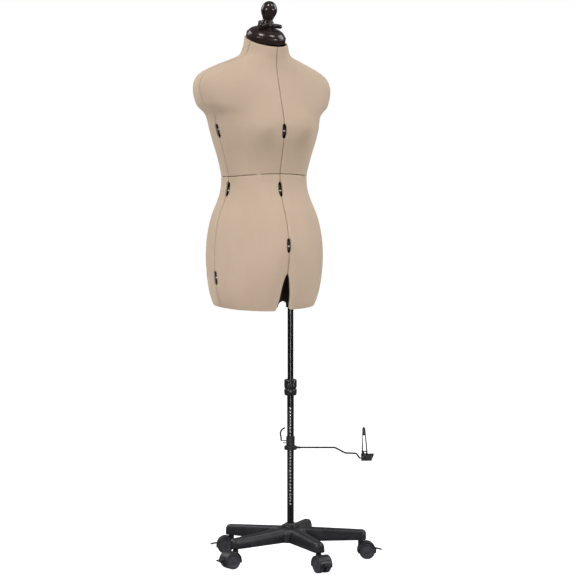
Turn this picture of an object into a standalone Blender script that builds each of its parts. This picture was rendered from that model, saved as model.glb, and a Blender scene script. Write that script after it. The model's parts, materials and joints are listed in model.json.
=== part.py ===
"""Adjustable dress form on a height-adjustable pole with a five-star caster base.

Metres, +Z up.  The form faces -Y, so its own right side is -X.  The origin is on
the floor, under the middle of the whole object's box.
"""

import math

import bmesh
import bpy
from mathutils import Matrix, Vector

GAP = 0.0004                      # air left between touching pieces
FORM_NAME = "adjustable_dress_form"

# ---- where the pole and the torso stand ------------------------------------
POLE_X = 0.0148
POLE_Y = 0.0201
TORSO_X = POLE_X - 0.0405         # middle of the torso's sections
TORSO_Y = POLE_Y + 0.0825
VIEW_TURN = math.radians(33.0)    # how far the base is turned against the torso

# ---- base -------------------------------------------------------------------
ARM_COUNT = 5
ARM_TURN = math.radians(4.5)      # first arm against the turned base
STEM_RADIUS_OUT = 0.214           # pole axis to caster stem
ARM_TOP_HUB = 0.100
ARM_TOP_TIP = 0.089
ARM_BOTTOM = 0.0575
ARM_HALF_HUB = 0.0215
ARM_HALF_TIP = 0.0165
HUB_RADIUS = 0.040
BOSS_RADIUS = 0.034
BOSS_BOTTOM = 0.0540

# ---- casters ----------------------------------------------------------------
WHEEL_RADIUS = 0.0245
WHEEL_HALF_WIDTH = 0.0195
WEB_HALF = 0.0035
CASTER_TRAIL = 0.018
HOOD_RADIUS = 0.0278
HOOD_HALF_WIDTH = 0.0215
STEM_RADIUS = 0.0040
TRAIL_ANGLES = (4.0, 88.0, 180.0, 215.0, 300.0)   # degrees, in the turned base

# ---- pole -------------------------------------------------------------------
LOWER_TUBE_R = 0.0103
LOWER_TUBE_WALL = 0.0011
LOWER_TUBE_BOTTOM = 0.0600
LOWER_TUBE_TOP = 0.5020
UPPER_TUBE_R = 0.0089
UPPER_TUBE_WALL = 0.0012
UPPER_TUBE_BOTTOM = 0.2700
UPPER_TUBE_TOP = 1.0200
COLLAR_BOTTOM = 0.4990
COLLAR_SPLIT = 0.5200
COLLAR_TOP = 0.5480

# ---- hem marker -------------------------------------------------------------
MARKER_TURN = -VIEW_TURN          # the arm points this way in plan
MARKER_ARM_Z = 0.3405
MARKER_RING_Z = (0.3340, 0.3460)
MARKER_SLEEVE_TOP = 0.3750
MARKER_PIVOT_REACH = -0.0268      # lever's pivot, behind the tube
MARKER_PIVOT_Z = 0.3610
CLIP_REACH = 0.2236
CLIP_BOTTOM = 0.3050
TRAY_FLOOR_Z = 0.3035

# ---- torso ------------------------------------------------------------------
SHELL = 0.0040
COLUMNS = 7                       # faces round each panel
SPLIT_Z = 1.1610                  # waist split between upper and lower panels
SPLIT_WAVE = 0.0045               # higher at centre front and back, lower at the sides
SPLIT_BLEND_LOW = 1.1425          # the wave fades out between these heights
SPLIT_BLEND_HIGH = 1.2250
HEM_Z = 0.7545
HEM_RISE = 0.0125                 # the hem is this much higher at the sides
HEM_LEFT_RISE = 0.0035
HEM_BLEND_Z = 0.8310
NECK_TILT = math.radians(20.0)    # rim of the neck slopes down to the front
NECK_CENTRE = (-0.006, 1.5685)    # y from the torso's middle, z
KNOB_TILT = math.radians(15.0)    # the adjuster and the finial lean less than the rim
KNOB_BASE = (-0.0027, 1.5661)     # y from the torso's middle, z
ADJUSTER_BOTTOM = 0.0429          # heights along the knob's axis
ADJUSTER_TOP = 0.0549
FINIAL_BOTTOM = 0.0616
ARMPIT_Z = 1.3450                 # the fold under each arm stump
ARMPIT_DEPTH = 0.0110
SEAM_HALF = 0.0007
SEAM_FORWARD = 0.0160             # side seams lie this far in front of the widest point
SLOT_HALF_HEIGHT = 0.0225
SLOT_HALF_WIDTH = 0.0073
BUST_DIAL_Z = 1.2920
WAIST_DIAL_Z = 1.1200
HIP_DIAL_Z = 0.9520               # centre front and centre back
HIP_SIDE_DIAL_Z = 0.8550
NOTCH_TOP_Z = 0.8670
NOTCH_HALF_WIDTH = 0.0217
NOTCH_POWER = 0.49
NOTCH_LIP = 0.0080                # rounding of the notch's corners at the hem
BACK_NOTCH_TOP_Z = 0.7950
DIAL_RADIUS = 0.0200
DIAL_HALF_WIDTH = 0.0045
DIAL_RECESS = 0.0028              # rim below the torso surface

# z, half width, front depth, back depth, y of the widest point, roundness
STATIONS = (
    (0.7400, 0.1370, 0.0950, 0.0920, 0.000, 0.95),
    (0.7570, 0.1545, 0.1060, 0.1040, 0.000, 0.95),
    (0.7830, 0.1685, 0.1180, 0.1160, 0.000, 0.95),
    (0.8310, 0.1810, 0.1300, 0.1270, 0.000, 0.95),
    (0.9000, 0.1870, 0.1400, 0.1340, 0.000, 0.95),
    (0.9600, 0.1855, 0.1385, 0.1330, 0.000, 0.95),
    (1.0120, 0.1780, 0.1280, 0.1230, 0.000, 0.95),
    (1.0480, 0.1680, 0.1160, 0.1130, 0.000, 0.95),
    (1.0840, 0.1525, 0.1020, 0.1030, 0.000, 0.95),
    (1.1200, 0.1415, 0.0920, 0.0960, 0.000, 0.95),
    (1.1600, 0.1395, 0.0880, 0.0950, 0.000, 0.95),
    (1.1930, 0.1460, 0.0930, 0.0980, 0.000, 0.95),
    (1.2290, 0.1560, 0.1010, 0.1040, 0.000, 0.95),
    (1.2650, 0.1680, 0.1090, 0.1110, 0.000, 0.95),
    (1.3010, 0.1785, 0.1120, 0.1170, 0.000, 0.94),
    (1.3250, 0.1840, 0.1100, 0.1190, 0.002, 0.92),
    (1.3490, 0.1990, 0.1050, 0.1190, 0.005, 0.88),
    (1.3730, 0.2180, 0.0990, 0.1180, 0.008, 0.84),
    (1.4220, 0.2310, 0.0860, 0.1080, 0.010, 0.82),
    (1.4580, 0.2180, 0.0760, 0.0950, 0.010, 0.84),
    (1.4820, 0.1770, 0.0715, 0.0860, 0.008, 0.90),
    (1.5060, 0.1150, 0.0700, 0.0740, 0.003, 0.97),
    (1.5200, 0.0830, 0.0715, 0.0660, 0.000, 1.00),
    (1.5400, 0.0710, 0.0730, 0.0600, -0.003, 1.00),
    (1.5700, 0.0640, 0.0740, 0.0570, -0.006, 1.00),
    (1.6100, 0.0620, 0.0750, 0.0560, -0.008, 1.00),
)

PARTS = None
CUTTERS = None


# ---- scene and object helpers ----------------------------------------------

def clear_scene():
    for old in list(bpy.data.objects):
        bpy.data.objects.remove(old, do_unlink=True)


def make_collection(name):
    collection = bpy.data.collections.new(name)
    bpy.context.scene.collection.children.link(collection)
    return collection


def material(name, color, roughness, metallic=0.0):
    mat = bpy.data.materials.new(name)
    mat.use_nodes = True
    shader = mat.node_tree.nodes["Principled BSDF"]
    shader.inputs["Base Color"].default_value = (*color, 1.0)
    shader.inputs["Roughness"].default_value = roughness
    shader.inputs["Metallic"].default_value = metallic
    return mat


def add_object(name, data, mat, location=(0, 0, 0), rotation=(0, 0, 0)):
    obj = bpy.data.objects.new(name, data)
    obj.location = location
    obj.rotation_euler = rotation
    if mat is not None:
        data.materials.append(mat)
    PARTS.objects.link(obj)
    return obj


def add_cutter(name, data, location=(0, 0, 0), rotation=(0, 0, 0)):
    obj = bpy.data.objects.new(name, data)
    obj.location = location
    obj.rotation_euler = rotation
    obj.hide_render = True
    obj.display_type = 'WIRE'
    CUTTERS.objects.link(obj)
    return obj


def boolean(target, other, operation='DIFFERENCE'):
    mod = target.modifiers.new(operation.title(), 'BOOLEAN')
    mod.operation = operation
    mod.solver = 'EXACT'
    mod.object = other
    return mod


def bevel(obj, width, segments=2, angle=40.0):
    mod = obj.modifiers.new("Bevel", 'BEVEL')
    mod.width = width
    mod.segments = segments
    mod.limit_method = 'ANGLE'
    mod.angle_limit = math.radians(angle)
    return mod


def smooth(mesh, angle=35.0):
    mesh.shade_smooth()
    mesh.set_sharp_from_angle(angle=math.radians(angle))


def mesh_from(build):
    """A mesh made by a function that fills a bmesh."""
    bm = bmesh.new()
    build(bm)
    mesh = bpy.data.meshes.new("mesh")
    bm.to_mesh(mesh)
    bm.free()
    return mesh


def cylinder_mesh(radius, height, segments=24, centre=(0, 0, 0), axis='Z'):
    def build(bm):
        turn = {'Z': Matrix.Identity(4),
                'X': Matrix.Rotation(math.pi / 2, 4, 'Y'),
                'Y': Matrix.Rotation(math.pi / 2, 4, 'X')}[axis]
        bmesh.ops.create_cone(bm, cap_ends=True, segments=segments, radius1=radius,
                              radius2=radius, depth=height,
                              matrix=Matrix.Translation(centre) @ turn)
    return mesh_from(build)


def box_mesh(size, centre=(0, 0, 0)):
    def build(bm):
        bmesh.ops.create_cube(bm, size=1.0,
                              matrix=Matrix.Translation(centre) @ Matrix.Diagonal((*size, 1.0)))
    return mesh_from(build)


def turned(name, profile, mat, steps, closed=False, location=(0, 0, 0), rotation=(0, 0, 0)):
    """A turned piece: (radius, height) points running down the outer side."""
    mesh = bpy.data.meshes.new(name)
    points = [(r, 0.0, z) for r, z in profile]
    edges = [(i, i + 1) for i in range(len(points) - 1)]
    if closed:
        edges.append((len(points) - 1, 0))
    mesh.from_pydata(points, edges, [])
    obj = add_object(name, mesh, mat, location, rotation)
    mod = obj.modifiers.new("Screw", 'SCREW')
    mod.axis = 'Z'
    mod.steps = steps
    mod.render_steps = steps
    mod.use_merge_vertices = True
    mod.merge_threshold = 0.00005
    mod.use_smooth_shade = True
    return obj


def ring(name, outer, inner, bottom, top, mat, steps, location, edge=0.0):
    """A tube or ring with a bore; edge is the chamfer on its outer corners."""
    profile = [(outer, top), (outer, bottom), (inner, bottom), (inner, top)]
    if edge > 0:
        profile = [(outer - edge, top), (outer, top - edge), (outer, bottom + edge),
                   (outer - edge, bottom), (inner, bottom), (inner, top)]
    return turned(name, profile, mat, steps, True, location)


def outline_mesh(loops, half_thickness):
    """A flat outline (the first loop) with holes, made solid about its plane."""
    curve = bpy.data.curves.new("outline", 'CURVE')
    curve.dimensions = '2D'
    curve.fill_mode = 'BOTH'
    curve.extrude = half_thickness
    for loop in loops:
        spline = curve.splines.new('POLY')
        spline.points.add(len(loop) - 1)
        for point, (x, y) in zip(spline.points, loop):
            point.co = (x, y, 0.0, 1.0)
        spline.use_cyclic_u = True
    return curve_to_mesh(curve)


def rod_mesh(points, radius, resolution=2):
    """A round wire through the points, as a mesh with welded caps."""
    curve = bpy.data.curves.new("rod", 'CURVE')
    curve.dimensions = '3D'
    curve.bevel_depth = radius
    curve.bevel_resolution = resolution
    curve.use_fill_caps = True
    spline = curve.splines.new('POLY')
    spline.points.add(len(points) - 1)
    for point, co in zip(spline.points, points):
        point.co = (*co, 1.0)
    return curve_to_mesh(curve)


def curve_to_mesh(curve):
    obj = bpy.data.objects.new("temporary", curve)
    bpy.context.scene.collection.objects.link(obj)
    depsgraph = bpy.context.evaluated_depsgraph_get()
    mesh = bpy.data.meshes.new_from_object(obj.evaluated_get(depsgraph))
    bpy.data.objects.remove(obj, do_unlink=True)
    bm = bmesh.new()
    bm.from_mesh(mesh)
    bmesh.ops.remove_doubles(bm, verts=bm.verts, dist=0.00002)
    bmesh.ops.recalc_face_normals(bm, faces=bm.faces)
    bm.to_mesh(mesh)
    bm.free()
    return mesh


def arc(centre, radius, start, end, steps):
    """Points along an arc, angles in degrees, both ends included."""
    points = []
    for i in range(steps + 1):
        angle = math.radians(start + (end - start) * i / steps)
        points.append((centre[0] + radius * math.cos(angle), centre[1] + radius * math.sin(angle)))
    return points


def polar(radius, angle):
    return (POLE_X + radius * math.cos(angle), POLE_Y + radius * math.sin(angle))


# ---- base -------------------------------------------------------------------

def arm_angle(index):
    return ARM_TURN - VIEW_TURN + index * 2 * math.pi / ARM_COUNT


def star_outline():
    """Five tapered arms with round tips; the arms run into each other at the hub."""
    points = []
    step = 2 * math.pi / ARM_COUNT
    valley = ARM_HALF_HUB / math.sin(step / 2)
    for index in range(ARM_COUNT):
        turn = arm_angle(index)
        local = [(STEM_RADIUS_OUT, -ARM_HALF_TIP)]
        local += arc((STEM_RADIUS_OUT, 0), ARM_HALF_TIP, -60, 60, 4)
        local += [(STEM_RADIUS_OUT, ARM_HALF_TIP)]
        for x, y in local:
            points.append((x * math.cos(turn) - y * math.sin(turn),
                           x * math.sin(turn) + y * math.cos(turn)))
        for part in (0.42, 0.5, 0.58):
            angle = turn + step * part
            reach = valley * (1.10 if part != 0.5 else 1.04)
            points.append((reach * math.cos(angle), reach * math.sin(angle)))
    return points


def make_star_base(mat):
    half = (ARM_TOP_HUB - ARM_BOTTOM) / 2
    mesh = outline_mesh([star_outline()], half)
    slope = (ARM_TOP_HUB - ARM_TOP_TIP) / (STEM_RADIUS_OUT - HUB_RADIUS)
    for vertex in mesh.vertices:
        radius = math.hypot(vertex.co.x, vertex.co.y)
        if vertex.co.z > 0 and radius > HUB_RADIUS:
            vertex.co.z -= slope * (radius - HUB_RADIUS)
    base = add_object("star_base", mesh, mat, (POLE_X, POLE_Y, ARM_BOTTOM + half))
    bevel(base, 0.0055, 2, 50)

    boss_top = -half + 0.012
    boss_height = boss_top + (ARM_BOTTOM + half - BOSS_BOTTOM)
    boss = add_cutter("base_boss", cylinder_mesh(
        BOSS_RADIUS, boss_height, 32, (0, 0, boss_top - boss_height / 2)), base.location)
    boolean(base, boss, 'UNION')
    for index in range(ARM_COUNT):
        turn = arm_angle(index)
        pocket = box_mesh((0.128, 2 * ARM_HALF_TIP - 0.009, 0.0220),
                          (0.120, 0, -half + 0.0090))
        boolean(base, add_cutter(f"arm_pocket_{index + 1}", pocket, base.location, (0, 0, turn)))
        socket = cylinder_mesh(STEM_RADIUS + 0.0004, 0.0500, 12,
                               (STEM_RADIUS_OUT, 0, -half - 0.0010))
        boolean(base, add_cutter(f"stem_socket_{index + 1}", socket, base.location, (0, 0, turn)))
    bore = cylinder_mesh(LOWER_TUBE_R + 0.0003, 0.100, 32,
                         (0, 0, LOWER_TUBE_BOTTOM - GAP + 0.050 - ARM_BOTTOM - half))
    boolean(base, add_cutter("hub_bore", bore, base.location))
    return base


def make_hub_collar(mat):
    bottom = ARM_TOP_HUB + GAP
    inner = LOWER_TUBE_R + GAP
    profile = [(0.0165, bottom + 0.0110), (0.0190, bottom + 0.0085), (0.0200, bottom + 0.0060),
               (0.0265, bottom + 0.0048), (0.0275, bottom + 0.0030), (0.0275, bottom),
               (inner, bottom), (inner, bottom + 0.0110)]
    return turned("hub_collar", profile, mat, 28, True, (POLE_X, POLE_Y, 0))


# ---- casters ----------------------------------------------------------------

def hood_mesh():
    """Half-round cover, axle along Y, axle at the origin, trail towards +X."""
    outline = arc((0, 0), HOOD_RADIUS, -14, 194, 13)
    return outline_mesh([outline], HOOD_HALF_WIDTH)


def make_hood(index, place, mat):
    """Cover with a middle web; its wheel wells, axle hole and stem hole are cut."""
    location, turn = place
    upright = Matrix.Rotation(math.pi / 2, 4, 'X')
    mesh = hood_mesh()
    mesh.transform(upright)
    hood = add_object(f"caster_{index}_hood", mesh, mat, location, (0, 0, turn))
    bevel(hood, 0.0018, 1, 50)
    boss = cylinder_mesh(0.0085, 0.0190, 12, (-CASTER_TRAIL, 0, 0.0205))
    boolean(hood, add_cutter(f"hood_boss_{index}", boss, location, (0, 0, turn)), 'UNION')
    well_width = HOOD_HALF_WIDTH - WEB_HALF + 0.004
    for side in (-1, 1):
        well = cylinder_mesh(WHEEL_RADIUS + 0.0008, well_width, 20,
                             (0, side * (WEB_HALF + well_width / 2), 0), 'Y')
        boolean(hood, add_cutter(f"wheel_well_{index}_{side}", well, location, (0, 0, turn)))
    hole = cylinder_mesh(0.0040, 0.060, 10, (0, 0, 0), 'Y')
    boolean(hood, add_cutter(f"axle_hole_{index}", hole, location, (0, 0, turn)))
    stem = cylinder_mesh(STEM_RADIUS + 0.0004, 0.030, 12, (-CASTER_TRAIL, 0, 0.0340))
    boolean(hood, add_cutter(f"stem_hole_{index}", stem, location, (0, 0, turn)))
    return hood


def wheel_profile():
    inner = WEB_HALF + 0.0008
    outer = WHEEL_HALF_WIDTH
    rim = WHEEL_RADIUS
    half = [(0.0000, outer - 0.0018), (rim - 0.0060, outer - 0.0018), (rim - 0.0048, outer),
            (rim - 0.0012, outer - 0.0010), (rim, outer - 0.0032), (rim, inner + 0.0012),
            (rim - 0.0012, inner), (0.0034, inner)]
    mirrored = [(r, -z) for r, z in reversed(half)]
    return half + mirrored


def make_wheels(index, place, mat):
    """Two wheels on one axle, turned about the axle."""
    location, turn = place
    return turned(f"caster_{index}_wheels", wheel_profile(), mat, 20, False,
                  location, (math.pi / 2, 0, turn))


def make_stem(index, mat):
    x, y = polar(STEM_RADIUS_OUT, arm_angle(index - 1))
    bottom = WHEEL_RADIUS + 0.0190 + GAP
    profile = [(0.0, 0.0800), (0.0034, 0.0800), (STEM_RADIUS, 0.0790),
               (STEM_RADIUS, bottom), (0.0, bottom)]
    return turned(f"caster_{index}_stem", profile, mat, 12, False, (x, y, 0))


def make_brake(index, place, mat):
    """Foot tab, hinged beside the cover's outer end."""
    location, turn = place
    outline = [(0.0000, -0.0090), (0.0120, -0.0105), (0.0165, -0.0085), (0.0180, -0.0040),
               (0.0180, 0.0040), (0.0165, 0.0085), (0.0120, 0.0105), (0.0000, 0.0090)]
    mesh = outline_mesh([outline], 0.0016)
    pivot = Vector((HOOD_RADIUS + 0.0016, 0, 0.0060))
    pivot.rotate(Matrix.Rotation(turn, 3, 'Z'))
    tab = add_object(f"caster_{index}_brake_tab", mesh, mat, Vector(location) + pivot,
                     (0, math.radians(12), turn))
    bevel(tab, 0.0010, 1, 50)
    return tab


def make_casters(hood_mat, wheel_mat, steel):
    for index in range(1, ARM_COUNT + 1):
        x, y = polar(STEM_RADIUS_OUT, arm_angle(index - 1))
        turn = math.radians(TRAIL_ANGLES[index - 1]) - VIEW_TURN
        location = (x + CASTER_TRAIL * math.cos(turn), y + CASTER_TRAIL * math.sin(turn),
                    WHEEL_RADIUS)
        place = (location, turn)
        make_hood(index, place, hood_mat)
        make_wheels(index, place, wheel_mat)
        make_stem(index, steel)
        make_brake(index, place, hood_mat)


# ---- pole -------------------------------------------------------------------

def fluted_outline(radius, depth, count, inner, inner_steps):
    outer = []
    for i in range(count * 2):
        angle = math.pi * i / count
        reach = radius - (depth if i % 2 else 0.0)
        outer.append((reach * math.cos(angle), reach * math.sin(angle)))
    hole = arc((0, 0), inner, 0, 360 - 360 / inner_steps, inner_steps - 1)
    return [outer, hole]


def make_pole(tube_mat, plastic):
    at = (POLE_X, POLE_Y, 0)
    ring("lower_tube", LOWER_TUBE_R, LOWER_TUBE_R - LOWER_TUBE_WALL, LOWER_TUBE_BOTTOM,
         LOWER_TUBE_TOP, tube_mat, 28, at)
    ring("upper_tube", UPPER_TUBE_R, UPPER_TUBE_R - UPPER_TUBE_WALL, UPPER_TUBE_BOTTOM,
         UPPER_TUBE_TOP, tube_mat, 28, at)
    inner = LOWER_TUBE_R + 0.0003
    neck = UPPER_TUBE_R + 0.0004
    profile = [(neck + 0.0040, COLLAR_SPLIT + 0.0080), (neck + 0.0040, COLLAR_SPLIT - 0.0010),
               (0.0176, COLLAR_SPLIT - 0.0010), (0.0192, COLLAR_SPLIT - 0.0026),
               (0.0192, COLLAR_BOTTOM + 0.0020), (0.0178, COLLAR_BOTTOM), (inner, COLLAR_BOTTOM),
               (inner, LOWER_TUBE_TOP + GAP), (neck, LOWER_TUBE_TOP + GAP),
               (neck, COLLAR_SPLIT + 0.0080)]
    turned("pole_collar", profile, plastic, 28, True, at)

    height = COLLAR_TOP - COLLAR_SPLIT
    nut = add_object("height_lock_nut", outline_mesh(
        fluted_outline(0.0190, 0.0014, 16, neck, 20), height / 2), plastic,
        (POLE_X, POLE_Y, COLLAR_SPLIT + height / 2))
    recess = cylinder_mesh(neck + 0.0044, 0.0200, 24, (0, 0, -height / 2 - 0.0010))
    boolean(nut, add_cutter("lock_nut_recess", recess, nut.location))


# ---- hem marker -------------------------------------------------------------

def along_arm(reach, z, side=0.0):
    """A point at this reach along the marker's arm, and this far to its side."""
    return (reach * math.cos(MARKER_TURN) - side * math.sin(MARKER_TURN),
            reach * math.sin(MARKER_TURN) + side * math.cos(MARKER_TURN), z)


def make_marker_sleeve(mat):
    """Sleeve gripping the tube, with two ears beside the lever."""
    bottom = MARKER_RING_Z[1] + GAP
    at = (POLE_X, POLE_Y, 0)
    sleeve = ring("marker_sleeve", 0.0131, LOWER_TUBE_R + 0.0005, bottom, MARKER_SLEEVE_TOP,
                  mat, 28, at, 0.0006)
    ears = ((MARKER_PIVOT_Z, -0.0248), (MARKER_PIVOT_Z - 0.0065, -0.0235))
    for number, (z, reach) in enumerate(ears):
        length = -0.0115 - reach
        ear = box_mesh((length, 0.0050, 0.0028), (reach + length / 2, 0, z))
        boolean(sleeve, add_cutter(f"sleeve_ear_{number}", ear, at, (0, 0, MARKER_TURN)), 'UNION')
    return sleeve


def make_marker_lever(mat):
    """C-shaped wire lever, hinged at the outer end of the sleeve's upper ear."""
    points = [(0.0000, 0, -0.0006), (-0.0004, 0, 0.0030)]
    for x, z in arc((0.0150, 0.0215), 0.0178, 203, 102, 9):
        points.append((x, 0, z))
    mesh = rod_mesh(points, 0.0016)
    x, y, z = along_arm(MARKER_PIVOT_REACH, MARKER_PIVOT_Z)
    return add_object("marker_lever", mesh, mat, (POLE_X + x, POLE_Y + y, z),
                      (0, 0, MARKER_TURN))


def make_marker_arm(mat):
    """Ring on the tube with a long stepped wire arm."""
    at = (POLE_X, POLE_Y, 0)
    arm = ring("marker_arm", 0.0190, LOWER_TUBE_R + 0.0005, MARKER_RING_Z[0],
               MARKER_RING_Z[1], mat, 28, at, 0.0010)
    neck_outline = [(0.014, -0.0100), (0.030, -0.0028), (0.030, 0.0028), (0.014, 0.0100)]
    neck = outline_mesh([neck_outline], 0.0045)
    neck.transform(Matrix.Translation((0, 0, MARKER_ARM_Z)))
    boolean(arm, add_cutter("arm_neck", neck, at, (0, 0, MARKER_TURN)), 'UNION')
    route = [(0.0270, 0, MARKER_ARM_Z), (0.1320, 0, MARKER_ARM_Z),
             (0.1370, 0, MARKER_ARM_Z - 0.0015), (0.1620, 0, MARKER_ARM_Z - 0.0150),
             (0.1670, 0, MARKER_ARM_Z - 0.0168), (0.1960, 0, MARKER_ARM_Z - 0.0178),
             (0.2000, 0, MARKER_ARM_Z - 0.0195), (0.2075, 0, MARKER_ARM_Z - 0.0300),
             (0.2100, 0, MARKER_ARM_Z - 0.0320), (0.2128, 0, MARKER_ARM_Z - 0.0324)]
    wire = rod_mesh(route, 0.0022)
    boolean(arm, add_cutter("arm_wire", wire, at, (0, 0, MARKER_TURN)), 'UNION')
    return arm


def make_marker_tray(mat):
    """Folded trough on the end of the arm; the clip stands in it."""
    outline = [(0.2133, 0.3013), (0.2443, 0.3013), (0.2521, 0.3212), (0.2133, 0.3195)]
    mesh = outline_mesh([outline], 0.0120)
    mesh.transform(Matrix.Rotation(math.pi / 2, 4, 'X'))
    tray = add_object("marker_tray", mesh, mat, (POLE_X, POLE_Y, 0), (0, 0, MARKER_TURN))
    depth = 0.0300
    inside = [(0.2125, TRAY_FLOOR_Z), (0.2425, TRAY_FLOOR_Z), (0.2540, TRAY_FLOOR_Z + depth),
              (0.2125, TRAY_FLOOR_Z + depth)]
    trough = outline_mesh([inside], 0.0106)
    trough.transform(Matrix.Translation((0.0018, 0, 0)) @ Matrix.Rotation(math.pi / 2, 4, 'X'))
    boolean(tray, add_cutter("tray_trough", trough, tray.location, (0, 0, MARKER_TURN)))
    return tray


def make_marker_clip(mat):
    """Upright tapered leaf with a long slot and a round hole, hinged at its foot."""
    x, y, z = along_arm(CLIP_REACH, CLIP_BOTTOM)
    outline = [(-0.0084, 0.0000), (0.0092, 0.0000), (0.0098, 0.0190), (0.0024, 0.0930)]
    outline += arc((-0.0021, 0.0932), 0.0043, 10, 170, 6)
    outline += [(-0.0066, 0.0930), (-0.0091, 0.0190)]
    slot = [(-0.0043, 0.0255), (0.0049, 0.0255), (0.0010, 0.0720), (-0.0050, 0.0720)]
    hole = arc((0.0021, 0.0199), 0.0026, 0, 324, 9)
    mesh = outline_mesh([outline, slot, hole], 0.0012)
    mesh.transform(Matrix.Rotation(math.pi / 2, 4, 'X'))
    return add_object("marker_clip", mesh, mat, (POLE_X + x, POLE_Y + y, z),
                      (0, 0, MARKER_TURN))


# ---- torso surface ----------------------------------------------------------

def station(z):
    """Section values at a height, on a smooth curve through the stations."""
    last = len(STATIONS) - 1
    index = 0
    while index < last - 1 and z > STATIONS[index + 1][0]:
        index += 1
    p0 = STATIONS[max(index - 1, 0)]
    p1 = STATIONS[index]
    p2 = STATIONS[index + 1]
    p3 = STATIONS[min(index + 2, last)]
    span = p2[0] - p1[0]
    t = min(max((z - p1[0]) / span, 0.0), 1.0)
    values = []
    for k in range(1, 6):
        slope1 = (p2[k] - p0[k]) / (p2[0] - p0[0]) * span
        slope2 = (p3[k] - p1[k]) / (p3[0] - p1[0]) * span
        values.append((2 * t**3 - 3 * t**2 + 1) * p1[k] + (t**3 - 2 * t**2 + t) * slope1
                      + (3 * t**2 - 2 * t**3) * p2[k] + (t**3 - t**2) * slope2)
    return values


def bump(value, centre, width):
    return math.exp(-((value - centre) / width) ** 2)


def torso_point(angle, z):
    """Point on the torso: angle 0 is centre front, a quarter turn is its left side."""
    half, front, back, middle, roundness = station(z)
    s = math.sin(angle)
    c = math.cos(angle)
    half -= ARMPIT_DEPTH * bump(z, ARMPIT_Z, 0.014) * abs(s) ** 6
    x = math.copysign(half * abs(s) ** roundness, s)
    if c >= 0:
        y = middle - (front + middle) * abs(c) ** roundness
        y -= 0.024 * bump(abs(x), 0.080, 0.047) * bump(z, 1.298, 0.050) * c
        y += 0.010 * bump(x, 0.0, 0.030) * min(max((0.95 - z) / 0.12, 0.0), 1.0)
    else:
        y = middle + (back - middle) * abs(c) ** roundness
        y += 0.010 * bump(abs(x), 0.075, 0.050) * bump(z, 0.905, 0.070)
        y -= 0.010 * bump(x, 0.0, 0.025) * min(max((1.00 - z) / 0.12, 0.0), 1.0)
    return Vector((TORSO_X + x, TORSO_Y + y, z))


def slot_opening(z, dial_heights):
    """Half opening of a seam at a height: the seam line, wider at each dial slot."""
    opening = SEAM_HALF
    for dial_z in dial_heights:
        part = abs(z - dial_z) / SLOT_HALF_HEIGHT
        if part < 1.0:
            opening = max(opening, SLOT_HALF_WIDTH * math.sqrt(1.0 - part ** 4))
    return opening


def notch_opening(z, top):
    """Half opening of the thigh notch, an arch that widens to a rounded lip."""
    if z >= top:
        return 0.0
    part = (top - z) / (top - HEM_Z)
    opening = NOTCH_HALF_WIDTH * min(part, 1.0) ** NOTCH_POWER
    above = max(z - HEM_Z, 0.0)
    if above < NOTCH_LIP:
        opening += NOTCH_LIP - math.sqrt(NOTCH_LIP ** 2 - (NOTCH_LIP - above) ** 2)
    return opening


def seam_angle(opening, extent, roundness):
    return math.asin(min((opening / extent) ** (1.0 / roundness), 1.0))


def panel_edges(z, front, upper):
    """Angles of a panel's two edges, from its centre seam round to its side seam."""
    half, front_depth, _, middle, roundness = station(z)
    if upper:
        centre_dials = side_dials = (BUST_DIAL_Z,)
    else:
        centre_dials = (WAIST_DIAL_Z, HIP_DIAL_Z)
        side_dials = (WAIST_DIAL_Z, HIP_SIDE_DIAL_Z)
    centre_open = slot_opening(z, centre_dials)
    if not upper:
        top = NOTCH_TOP_Z if front else BACK_NOTCH_TOP_Z
        centre_open = max(centre_open, notch_opening(z, top))
    depth = front_depth + middle
    centre = seam_angle(centre_open, half, roundness)
    gap = slot_opening(z, side_dials)
    if front:
        return centre, math.pi / 2 - seam_angle(SEAM_FORWARD + gap, depth, roundness)
    return centre, math.pi / 2 + seam_angle(SEAM_FORWARD - gap, depth, roundness)


def slot_rows(dial_z):
    reach = SLOT_HALF_HEIGHT
    return [dial_z - reach, dial_z - 0.84 * reach, dial_z, dial_z + 0.84 * reach, dial_z + reach]


def panel_rows(upper):
    if upper:
        rows = [SPLIT_Z + 0.0006, 1.188, 1.225] + slot_rows(BUST_DIAL_Z)
        rows += [1.337, 1.358, 1.385, 1.415, 1.440, 1.458, 1.473, 1.486, 1.498, 1.511]
    else:
        rows = [HEM_Z, HEM_Z + 0.0020, HEM_Z + NOTCH_LIP, 0.785, 0.808]
        rows += slot_rows(HIP_SIDE_DIAL_Z) + [0.903]
        rows += slot_rows(HIP_DIAL_Z) + [1.008, 1.045, 1.075] + slot_rows(WAIST_DIAL_Z)
        rows += [SPLIT_Z - 0.0006]
    return rows


def neck_rim_z(y):
    """Height of the sloped neck rim at a depth from the torso's middle."""
    return NECK_CENTRE[1] + (y - NECK_CENTRE[0]) * math.tan(NECK_TILT)


def panel_angle(column, z, side, front, upper):
    """Signed angle of one of a panel's columns at a height."""
    centre, edge = panel_edges(z, front, upper)
    angle = centre + (edge - centre) * column / COLUMNS
    return side * (angle if front else math.pi - angle)


def level(angle, z, side, upper):
    """A row's true height: the waist split waves and the hem rises to the sides."""
    wave = SPLIT_WAVE * math.cos(2 * angle)
    if upper:
        return z + wave * min(max((SPLIT_BLEND_HIGH - z) / (SPLIT_BLEND_HIGH - SPLIT_Z), 0.0), 1.0)
    rise = HEM_RISE * (1 - math.cos(angle)) + (HEM_LEFT_RISE if side > 0 else 0.0)
    near_split = min(max((z - SPLIT_BLEND_LOW) / (SPLIT_Z - SPLIT_BLEND_LOW), 0.0), 1.0)
    near_hem = min(max((HEM_BLEND_Z - z) / (HEM_BLEND_Z - HEM_Z), 0.0), 1.0)
    return z + wave * near_split + rise * near_hem


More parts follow.
